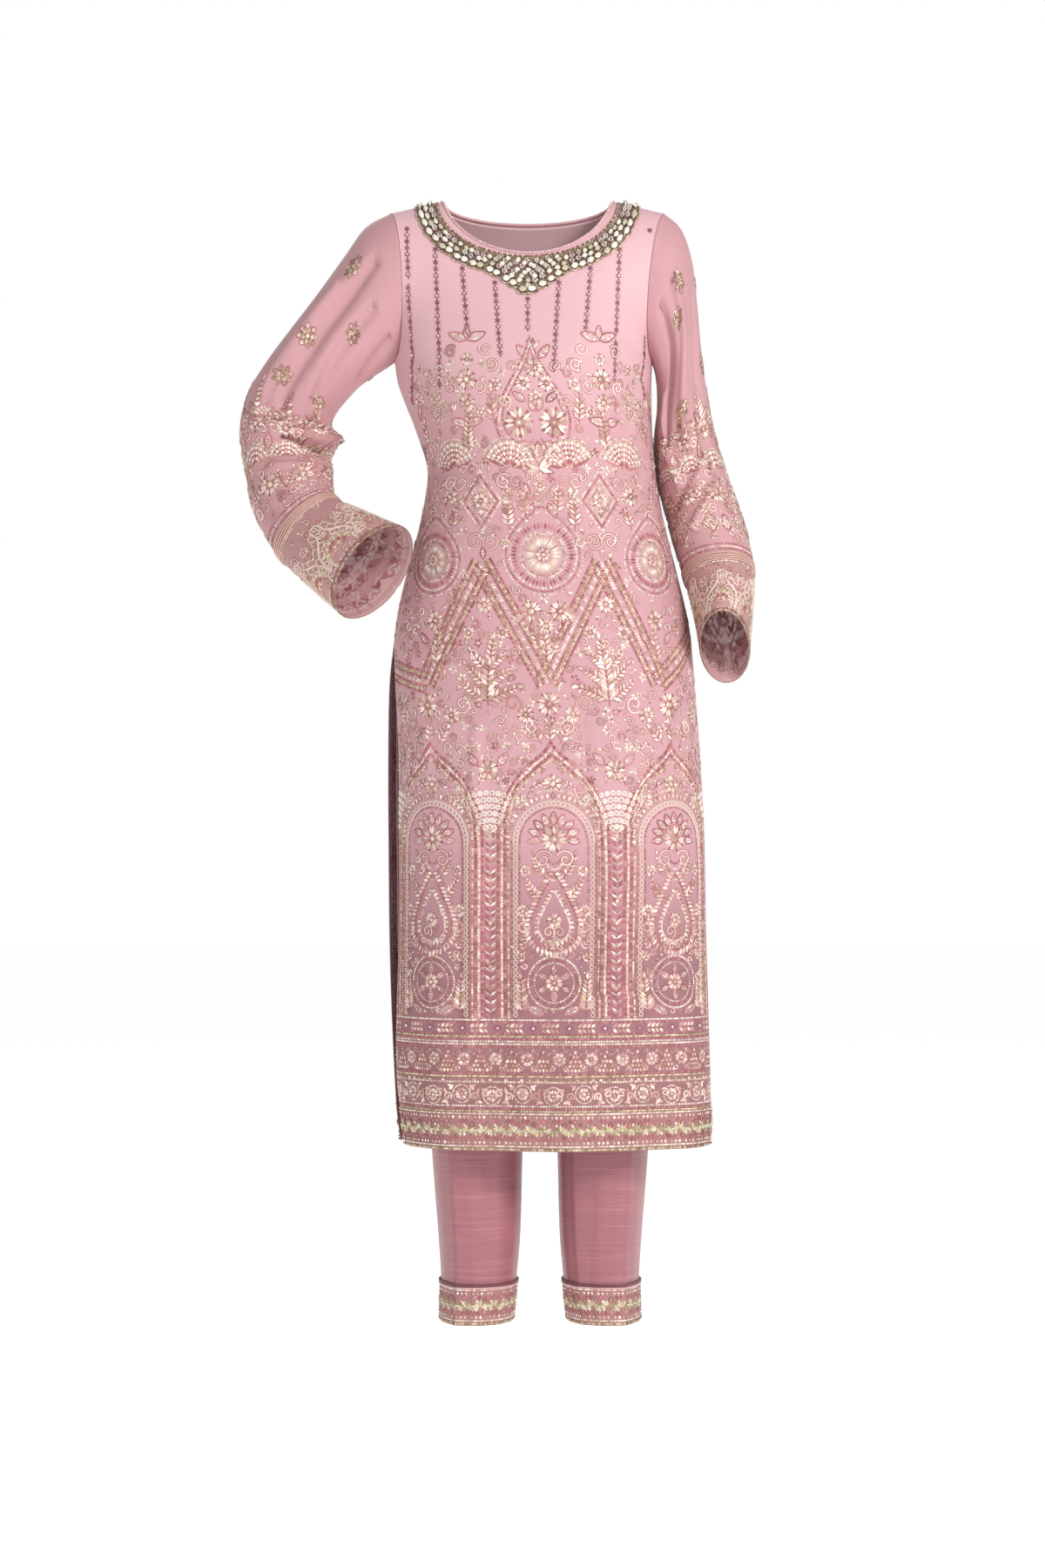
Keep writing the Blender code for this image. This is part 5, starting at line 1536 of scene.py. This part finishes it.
def borderBands(work, half):
  # straight borders across the whole panel, above the applied hem border
  left, right = -half[0] + .002, half[1] - .002

  def line(z, step=.004):
    return straight(left, z, right, z, step)

  for z, thread in ((-.9505, "ivory"), (-.9695, "gold"), (-.9782, "ivory"), (-1.015, "gold"),
      (-1.055, "gold")):
    rope(work, line(z), thread, .0026)
  for z, thread in ((-.9535, "rose"), (-.9665, "rose"), (-.9722, "rose"), (-.9752, "ivory"), (-.9812, "rose"),
      (-1.0122, "rose"), (-1.0215, "ivory"), (-1.0522, "rose"), (-1.049, "ivory")):
    beadRow(work, line(z), .0032, .0028, thread)
  for k in range(int((right - left - .006) / .0415) + 1):  # leaf blocks and diamonds
    x = left + .004 + .0415 * k
    for step in range(4):
      for side in (-1, 1):
        leafStitch(work, x + .0052 * step, -.96 + side * .0008, radians(side * 42), .0068, .003)
    work.add("mauve", "leaf", x + .026, -.96, 0, .012, .008, .0009, .5)
    work.add("crystal", "spark", x + .032, -.96, 0, .004, .004, .0016)
  for k in range(int((right - left - .016) / .0185) + 1):  # triangles and flowers, turn and turn about
    x = left + .01 + .0185 * k
    if k % 2:
      for row in range(5):
        for bar in range(row + 1):
          leafStitch(work, x + (bar - row / 2) * .0042, -.985 - .0052 * row, radians(-90), .0046, .0028,
            ("ivory", "gold")[row % 2])
      for side in (-1, 1):
        rope(work, straight(x, -.983, x + side * .0125, -1.0105), "rose", .0022)
    else:
      flower(work, x, -.9955, .0085, 8)
      for side in (-1, 1):
        sprig(work, x + side * .002, -1.0095, radians(90 - side * 62), .013, 3, .3 * side, size=.4)
        sprig(work, x + side * .002, -.984, radians(-90 + side * 62), .01, 2, size=.4)
  for k in range(int((right - left) / .0046)):  # gold checks
    work.add(("gold", "olive")[k % 2], "leaf", left + .002 + k * .0046,
      -1.0182 + (.0012 if k % 2 else -.0012), 0, .005, .0034, .001)
  # vine of ringed flowers
  across = np.linspace(left, right, 130)
  vine = np.stack([across, -1.037 + .008 * np.sin(across * 2 * pi / .071)], axis=-1)
  work.cord("mauve", vine, .0018, .0009)
  for k in range(int((right - left - .02) / .0355) + 1):
    x, up = left + .012 + .0355 * k, 1 if k % 2 else -1
    z = -1.0362 + .001 * up
    flower(work, x, z, .0078, 6)
    rope(work, arcLine(x, z, .0102, 0, 360, 16), "ivory", .0022)
    for side in (-1, 1):
      scroll(work, x + side * .0125, z - .006 * up, radians(90 * up - side * 50), .005, side * up)
      leafStitch(work, x + side * .0145, z + .004 * up, radians(90 * up + side * 38), .0085, .0034)
      leafStitch(work, x + side * .0175, z - .002 * up, radians(-90 * up + side * 20), .0075, .003, "gold")
      leafStitch(work, x + side * .011, z + .0085 * up, radians(90 - 70 * side), .0065, .0026)


class Strip:
  # a border laid on: x along it, z its height, on a lifted face
  def __init__(self, flat, high):
    self.flat, self.high = flat, high

  def lift(self, x, z, high):
    return self.flat.lift(x, z, high + self.high)


def shellBorder(work, left, right, top, low):
  # dense border: triangles of bars above and below a zigzag of shells
  middle = (top + low) / 2
  count = int(round((right - left) / .018))
  pitch = (right - left) / count
  for z in (top - .0012, low + .0052):
    rope(work, straight(left, z, right, z, .006), "ivory", .0026)
  beadRow(work, straight(left, low + .0016, right, low + .0016), .003, .0032, "gold", "bead", .0011)
  for k in range(count):
    x = left + (k + .5) * pitch
    for side, z in ((1, top - .0032), (-1, low + .0072)):
      for row in range(3):
        for bar in range(3 - row):
          leafStitch(work, x + (bar - (2 - row) / 2) * .005, z - side * .0046 * row, radians(-90 * side),
            .0042, .003, ("ivory", "rose", "ivory")[row])
    for half in (0, 1):
      hx = x + (half - .5) * pitch / 2
      hz = middle + .0012 + (.0042 if half else -.0042)
      turn = radians(90 if half else -90)
      for ray in range(5):
        work.add(("olive", "gold")[ray % 2], "leaf", hx, hz - sin(turn) * .005,
          turn + radians(32 * (ray - 2)), .0086, .0036, .0012)
      work.add("crystal", "spark", hx, hz - sin(turn) * .0045, 0, .0028, .0028, .0016)
    for z, turn in ((middle + .0055, 90), (middle - .003, -90)):
      leafStitch(work, x + pitch / 2, z, radians(turn), .006, .004, "rose", "mauve")


# embroidery, piece by piece

def panelInside(panel, edge):
  sides = {}

  def inside(x, z):
    key = round(z, 3)
    if key not in sides:
      sides[key] = (panel.halfWidth(z, -1), panel.halfWidth(z, 1))
    return -sides[key][0] + edge < x < sides[key][1] - edge

  return inside


def trimmed(work, inside):
  # nothing is stitched past the edge of the panel
  for kinds in work.stitches.values():
    for shape, rows in kinds.items():
      kinds[shape] = [row for row in rows if inside(row[0], row[1])
        and inside(row[0] + row[3] * cos(row[2]), row[1])]
  for thread, cords in work.cords.items():
    work.cords[thread] = [cord for cord in cords if all(inside(x, z) for x, z in cord[0][::3])]


def embroiderHem(face, panel, finishes):
  strip = Needlework("hemWork." + face, Strip(panel, .0012))
  left, right = panel.halfWidth(-1.08, -1), panel.halfWidth(-1.08, 1)
  shellBorder(strip, -left + .003, right - .003, tunic["borderTop"], tunic["hem"])
  return strip.lay(borderThreads, finishes)


def embroiderFront(finishes):
  print("front embroidery")
  panel = FlatPanel("front")
  work = Needlework("frontWork", panel)
  yokeWork(work, panel.flat)
  placeAll(work, panel.flat, waistMotifs)
  zigzagWork(work, panel.flat)
  placeAll(work, panel.flat, skirtMotifs)
  pitch = frontWork["archPitch"]
  for k in (-1, 0, 1):
    archWork(work, pitch * k)
  for k in (-1.5, -.5, .5, 1.5):
    columnWork(work, pitch * k)
  borderBands(work, (panel.halfWidth(-1.0, -1), panel.halfWidth(-1.0, 1)))
  inside = panelInside(panel, .006)

  def lowField(x, z):
    return inside(x, z) and abs((x / pitch + .5) % 1 - .5) * pitch < .0365

  def archEdge(x, z):
    return inside(x, z) and abs((x / pitch + .5) % 1 - .5) * pitch > .02

  groundFill(work, inside, (-.22, .22, -.56, -.29), .0122, .0112, .002, .3)
  groundFill(work, inside, (-.16, .16, -.29, -.2), .0128, .0112, .0025, .4)
  groundFill(work, inside, (-.24, .24, -.64, -.56), .0118, .0108, .002, .3)
  groundFill(work, archEdge, (-.24, .24, -.7, -.64), .011, .01, .002)
  groundFill(work, lowField, (-.24, .24, -.944, -.86), .009, .0076, .001)
  trimmed(work, inside)
  return work.lay(netThreads, finishes), embroiderHem("front", panel, finishes)


def embroiderBack(finishes):
  # the back repeats the front's borders, with flower sprigs strewn over a plain net
  print("back embroidery")
  panel = FlatPanel("back")
  work = Needlework("backWork", panel)
  borderBands(work, (panel.halfWidth(-1.0, -1), panel.halfWidth(-1.0, 1)))
  inside = panelInside(panel, .007)
  for row in range(15):
    z = -.07 - .058 * row
    for step in range(7):
      x = -.21 + (row % 2) * .035 + .07 * step
      if inside(x - .012, z) and inside(x + .012, z) and (z < -.12 or abs(x) < .115):
        flower(work, x, z, .0095, 8)
        for side in (-1, 1):
          sprig(work, x, z - .012, radians(-90 + side * 34), .02, 3, .2 * side)
          leafEye(work, x + side * .004, z + .009, radians(90 - side * 34), .014, .0065)
  groundFill(work, inside, (-.21, .21, -.94, -.06), .023, .008, .006)
  trimmed(work, inside)
  # the reverse of an edging inside both slits, which shows past the front panel
  reverse = Needlework("backInside", Strip(panel, -.0032))
  for side in (-1, 1):
    for inset, thread, size in ((.0035, "ivory", .0034), (.0072, "rose", .0038), (.0108, "ivory", .003),
        (.0142, "gold", .003)):
      line = [(side * (panel.halfWidth(z, side) - inset), z) for z in np.linspace(-.53, -1.085, 40)]
      beadRow(reverse, np.array(line), .0034, size, thread)
    for z in np.arange(-.545, -1.08, -.022):
      floret(reverse, side * (panel.halfWidth(z, side) - .02), z, .01)
  pieces = (work.lay(netThreads, finishes)
    + reverse.lay(netThreads, finishes))
  return pieces, embroiderHem("back", panel, finishes)


sleeveWork = {
  "right": {"buti": [(-.203, -.078), (-.203, -.157), (-.255, -.16), (-.244, -.236), (-.285, -.205)],
    "start": .6},
  "left": {"buti": [(.176, -.1), (.174, -.143), (.178, -.247), (.205, -.19)], "start": .52},
}


def embroiderSleeve(side, finishes):
  # small sprigs on the upper arm, dense flowers and fans from the elbow down, all round
  flatSleeve = FlatSleeve(side, .06, 9.9)
  work = Needlework("sleeveWork." + side, flatSleeve)
  for x, z in sleeveWork[side]["buti"]:
    px, pz = flatSleeve.flat(x, z)
    flower(work, px, pz, .007, 6, "gold", "mauve")
    for turn in range(0, 360, 45):
      leafStitch(work, *turnedBy(px, pz, radians(turn), .0062, 0), radians(turn), .0052, .0036, "gold",
        "mauve")
    work.keepClear(px, pz, .03)
  last = float(flatSleeve.along[-1])
  start = last * sleeveWork[side]["start"]
  for k in range(-4, 5):  # sprigs at the top of the dense part
    x, top = k * .038, -start + .006 * (k % 2)
    sprig(work, x, top - .012, radians(90), .036, 6)
    flower(work, x, top - .016, .01, 8)
    flower(work, x + .019, top - .006, .0085, 8)
    for hand in (-1, 1):
      leafEye(work, x + hand * .003, top - .008, radians(90 - hand * 46), .017, .008)
      scroll(work, x + .019, top - .018, radians(-90 + hand * 60), .007, hand)
  for row in range(int((last - start - .03) / .04) + 1):
    z = -start - .044 - row * .04
    if z < -last + .016:
      break
    for k in range(-4, 5):
      x = k * .04 + (.02 if row % 2 else 0.0)
      if row % 3 == 0:
        shellFan(work, x, z - .01, radians(90), .0195, 150, 9, 3)
        scroll(work, x + .02, z - .006, radians(-90), .0085, 1)
        leafEye(work, x + .02, z + .004, radians(90), .018, .009)
      elif row % 3 == 1:
        flower(work, x, z, .0135, 8)
        for hand in (-1, 1):
          sprig(work, x + .02, z - .014, radians(90 + hand * 30), .026, 4, -.2 * hand)
          scroll(work, x + hand * .006, z - .017, radians(-90 + hand * 50), .007, hand)
      else:
        beadDiamond(work, x, z, .026, .034)
        leafEye(work, x + .02, z - .012, radians(90), .022, .011)
  for offset, thread, size in ((.006, "rose", .003), (.0096, "ivory", .003), (.0132, "rose", .0028)):
    beadRow(work, straight(-.17, -last + offset, .17, -last + offset), .0032, size, thread)

  def inside(x, z):
    radius = np.interp(-z, flatSleeve.along, flatSleeve.radius)
    return abs(x) < pi * radius - .001 and .004 < -z < last - .001

  groundFill(work, lambda x, z: inside(x, z) and z < -start, (-.17, .17, -last + .014, -start), .012, .011,
    .002, .4)
  for x, z in ((-.115, -.1), (.115, -.13), (-.1, -.17), (.1, -.06)):  # the same sprigs behind
    flower(work, x, z, .007, 6, "gold", "mauve")
  trimmed(work, inside)
  return work.lay(netThreads, finishes)


def embroiderCuff(side, finishes):
  # open vines, curls and feathered leaves on organza, with a beaded edge
  flatCuff = FlatSleeve(side, 10.0, 12.0)
  work = Needlework("cuffWork." + side, flatCuff)
  last = float(flatCuff.along[-1])
  for offset, thread, size, high in ((.0012, "gold", .0034, .0016), (.0048, "rose", .0028, .0011),
      (.008, "ivory", .0028, .0011)):
    beadRow(work, straight(-.215, -last + offset, .215, -last + offset), .0031, size, thread, "bead", high)
  rope(work, straight(-.2, -.0075, .2, -.0075), "ivory", .0026)
  for k in range(-3, 4):
    x, z = k * .056, -last * .8
    # pleated fan with a scalloped edge
    shellFan(work, x, z, radians(90), .018, 170, 11, 2, "rose", "gold", "ivory")
    for bump in range(6):
      angle = radians(8 + 33 * bump)
      px, pz = turnedBy(x, z, angle, .0222, 0)
      rope(work, arcLine(px, pz, .0058, degrees(angle) - 95, degrees(angle) + 95, 7), "gold", .0018)
    for hand in (-1, 1):
      vine = throughPoints([(x + hand * .028, z - .01), (x + hand * .024, z + .016),
        (x + hand * .008, z + .034), (x + hand * .006, z + .05)])
      work.cord("ivory", vine, .0026, .0014, .72)
      for step, (bx, bz, heading) in enumerate(evenly(vine, .0062)):
        lean = hand if step % 2 else -hand
        curl = arcLine(*turnedBy(bx, bz, heading, 0.0, .0042 * lean), .0042, degrees(heading) - 90 * lean,
          degrees(heading) + 150 * lean, 9)
        work.cord("ivory", curl, .0016, .0013, .66)
        leafStitch(work, *curl[-1], heading + 2.4 * lean, .0068, .0024, "ivory", "gold")
      scroll(work, x + hand * .02, z + .03, radians(90 - hand * 50), .0095, hand)
      scroll(work, x + hand * .01, z + .046, radians(90 + hand * 20), .0085, -hand)
      leafEye(work, x + hand * .001, z + .027, radians(90 - hand * 24), .015, .007)
    flower(work, x + .028, z + .044, .008, 6)

  def inside(x, z):
    radius = np.interp(-z, flatCuff.along, flatCuff.radius)
    return abs(x) < pi * radius and .003 < -z < last - .0003

  groundFill(work, inside, (-.2, .2, -last + .01, -.01), .015, .01, .002, .55)
  trimmed(work, inside)
  pieces = work.lay(netThreads, finishes)
  # the reverse of the stitches on the inside; their dark rose is partly painted shade inside the cuff
  lining = Needlework("cuffInside." + side, Strip(flatCuff, -.0022))
  for k in range(-9, 10):
    for row in range(4):
      x, z = k * .02 + (row % 2) * .01, -last * (.28 + .19 * row)
      for hand in (-1, 1):
        lining.cord("rose", arcLine(x + hand * .0045, z, .0042, 90, 90 + hand * 290, 10), .001, .0005)
        leafStitch(lining, x, z, radians(90 - hand * 40), .0075, .0026, "ivory", "rose")
  trimmed(lining, inside)
  return pieces + lining.lay(("ivory", "rose"), finishes)


class NeckBand:
  # the band round the front neck laid straight: x along the neckline, z 0 at the neck and -1 outside
  def __init__(self):
    self.angles = np.radians(np.linspace(-90, 90, 241))
    half, drop = tunic["neckHalf"], tunic["front"]["neckDrop"]
    line = np.stack([half * np.sin(self.angles), -drop * np.cos(self.angles)], axis=-1)
    arc = np.concatenate([[0], np.cumsum(np.hypot(*np.diff(line, axis=0).T))])
    self.arc = arc - arc[-1] / 2
    self.length = arc[-1]

  def spot(self, x, share):
    angle = np.interp(x, self.arc, self.angles)
    half, drop = tunic["neckHalf"], tunic["front"]["neckDrop"]
    px, pz = half * np.sin(angle), -drop * np.cos(angle)
    nx, nz = np.sin(angle) / half, -np.cos(angle) / drop
    long = np.hypot(nx, nz)
    point = np.clip(1 - np.abs(px) / .04, 0, None)
    wide = lerp(.029, .052, point ** 1.3)
    reach = .0015 + (wide - .0015) * share
    px, pz = px + nx / long * reach, pz + nz / long * reach
    tip = np.where(px > 0, tunic["armholeTop"][1], -tunic["armholeTop"][0])
    top = tunic["shoulderTip"] * np.clip(np.abs(px) - half, 0, None) / (tip - half)
    down = np.clip((top - pz) / (top - tunic["armpit"]), .002, 1)
    middle = .006 * down
    across = (px - middle) / np.abs(armholeX(px, down) - middle)
    return tunicPoints("front", across, np.minimum(pz, top - .0004))

  def lift(self, x, z, high):
    share = -z
    here = self.spot(x, share)
    aside = self.spot(x + .0012, share) - self.spot(x - .0012, share)
    below = self.spot(x, share + .03) - self.spot(x, share - .03)
    normal = np.cross(aside, below)
    normal *= np.sign(-normal[:, 1:2] + 1e-12)
    return raised(here, normal, high + .0016)

  def wide(self, x):
    angle = np.interp(x, self.arc, self.angles)
    point = np.clip(1 - np.abs(tunic["neckHalf"] * np.sin(angle)) / .04, 0, None)
    return lerp(.029, .052, point ** 1.3)


class BandUnits:
  # lets the band's needlework use metres across it too
  def __init__(self, band):
    self.band = band

  def lift(self, x, z, high):
    return self.band.lift(x, z / self.band.wide(x), high)


def buildNeckBand(finishes):
  print("neck band")
  band = NeckBand()
  xs = np.linspace(-band.length / 2, band.length / 2, 150)
  grid = np.array([band.lift(xs, np.full(150, -share), np.full(150, -.0003))
    for share in np.linspace(.02, .985, 14)])
  clothPiece("neckBand", grid, .001, plainFinish("bandNet", cloths["band"], .5), ("neck_band",))
  work = Needlework("neckStones", BandUnits(band))
  reach = band.length / 2 - .004
  # rows of stones in dark claws, from the outer edge in; the point takes more rows
  depth, row = .0052, 0
  while depth < .052:
    size = (.0074, .0064, .006)[min(row, 2)]
    count = int(2 * reach / (size * 1.14))
    for k in range(count + 1):
      x = -reach + 2 * reach * (k + row % 2 / 2) / count
      z = depth - float(band.wide(np.array(x)))
      if z > -.0064 or x > reach:
        continue
      x, z = x + chance.uniform(-.0012, .0012), z + chance.uniform(-.0009, .0009)
      pink = row > 0 and (k + 2 * row) % 5 in (0, 1)
      work.add("claw", "dot", x, z, .4, size * 1.24, size * 1.24, .0012, .3)
      if pink:  # a cluster of small rose stones
        for turn in range(5):
          work.add("crystal", "spark", *turnedBy(x, z, radians(72 * turn), .002, 0), 0, .0031, .0031, .0028,
            chance.uniform(.1, .8))
      else:
        work.add("stone", "gem", x, z, chance.uniform(0, .8), size, size * chance.uniform(.84, 1.0), .0036,
          (.12, .72, .62, .95, .5)[(k + 3 * row) % 5])
      for turn in (45, 135, 225, 315):
        work.add("claw", "bead", *turnedBy(x, z, radians(turn), size * .55, 0), 0, .0014, .0014, .0034, .8)
      if row == 0:
        # scalloped cord and beads outside
        rope(work, arcLine(x, z - .0006, .0052, 190, 350, 8), "gold", .002)
        work.add("claw", "bead", x + size * .6, z - .0034, 0, .0022, .0022, .0018, .6)
    depth += size * .98
    row += 1
  for k in range(int(2 * reach / .003)):
    x = -reach + .003 * k
    work.add(("ivory", "rose")[k % 2], "bead", x, -.0022, 0, .0027, .0027, .0018)
    work.add("gold", "bead", x + .0015, -.0048, 0, .0023, .0023, .0014)
  return work.lay(("ivory", "rose", "gold", "claw", "stone", "crystal"), finishes)


def bindingBeads(loop, finishes):
  # tiny beads along the binding round the whole neck
  steps = np.linalg.norm(np.roll(loop, -1, axis=0) - loop, axis=1)
  along = np.concatenate([[0], np.cumsum(steps)])
  closed = np.concatenate([loop, loop[:1]])
  count = int(along[-1] / .0046)
  at = np.arange(count) * along[-1] / count
  centre = np.stack([np.interp(at, along, closed[:, i]) for i in range(3)], axis=-1)
  out = unit(centre - np.array((.003, 0.0, -.06)))
  front = np.array((0.0, -1.0, .5)) / hypot(1, .5)
  rear = np.array((0.0, 1.0, .5)) / hypot(1, .5)
  up = unit(np.where(centre[:, 1:2] < 0, front, rear) + out * .2)
  side = unit(np.cross(up, out))
  other = np.cross(side, up)
  points, faces = shapes["bead"]
  size = .0024
  body = (centre[:, None] + up[:, None] * (.0012 + points[:, 2:3] * .0016)[None]
    + side[:, None] * (points[:, 0:1] * size)[None] + other[:, None] * (points[:, 1:2] * size)[None])
  allFaces = (faces[None] + (np.arange(count) * len(points))[:, None, None]).reshape(-1, 3)
  u = (chance.uniform(.1, .95, (count, 1))
    + .009 * points[None, :, 0] * (1 - .3 * points[None, :, 2])).ravel()
  v = (chance.uniform(.1, .95, (count, 1))
    + .009 * points[None, :, 1] * (1 - .3 * points[None, :, 2])).ravel()
  mesh = meshFrom("bindingBeads", body.reshape(-1, 3), allFaces,
    np.stack([u[allFaces], v[allFaces]], axis=-1))
  return linkPiece("bindingBeads", mesh, finishes["crystal"], ())


def embroiderLegs(finishes):
  print("leg borders")
  edging = {}
  for side in ("right", "left"):
    flatLeg = FlatLeg(side, .0012)
    work = Needlework("legWork." + side, flatLeg)
    shellBorder(work, 0.0, flatLeg.round, trousers["borderTop"] - .002, trousers["hem"] + .0002)
    edging[side] = work.lay(borderThreads, finishes)
  return edging


def declareSheets(extras):
  # what each piece was cut to before it was sewn: width and length, area, how it is held, what it rests on.
  # The table is only walked here; nothing is declared from it.
  print("sheets")
  cuts = [("tunic.front", (.46, 1.12), .45479, "hung", "tunic.back"),
    ("tunic.back", (.44, 1.1), .45677, "hung", "tunic.front"),
    ("lining.front", (.44, 1.05), .38493, "hung", "tunic.front"),
    ("lining.back", (.42, 1.05), .38944, "hung", "tunic.back"),
    ("hem.front", (.46, .044), .02022, "stretched", "tunic.front"),
    ("hem.back", (.44, .044), .01934, "stretched", "tunic.back"),
    ("sleeve.right", (.4, .47), .12633, "hung", "tunic.front"),
    ("sleeve.left", (.38, .44), .11218, "hung", "tunic.front"),
    ("cuff.right", (.36, .1), .03588, "hung", "sleeve.right"),
    ("cuff.left", (.32, .1), .02635, "hung", "sleeve.left"),
    ("trouser_front_right", (.24, .96), .19213, "hung", "waistband"),
    ("trouser_front_left", (.24, .96), .1922, "hung", "waistband"),
    ("trouser_back_right", (.24, .96), .19533, "hung", "waistband"),
    ("trouser_back_left", (.24, .96), .1954, "hung", "waistband"),
    ("legBorder.right", (.34, .044), .01495, "stretched", "trouser.front.right"),
    ("legBorder.left", (.34, .044), .01495, "stretched", "trouser.front.left"),
    ("waistband", (.62, .027), .01672, "gathered", "trouser.front.right")]
  for name, flat, area, held, rests in cuts:
    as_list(extras.get(name, ()))


buildStudio()
cloth = buildCloth()
finishes = makeFinishes()
neckLoop = buildCords()
frontPieces, frontEdging = embroiderFront(finishes)
backPieces, backEdging = embroiderBack(finishes)
extras = {"tunic.front": frontPieces, "tunic.back": backPieces, "hem.front": frontEdging,
  "hem.back": backEdging}
for side in ("right", "left"):
  extras["sleeve." + side] = embroiderSleeve(side, finishes)
  extras["cuff." + side] = embroiderCuff(side, finishes)
stones = buildNeckBand(finishes)
extras["tunic.front"] = list(extras["tunic.front"]) + list(stones)
bindingBeads(neckLoop, finishes)
for side, pieces in embroiderLegs(finishes).items():
  extras["legBorder." + side] = pieces
declareSheets(extras)
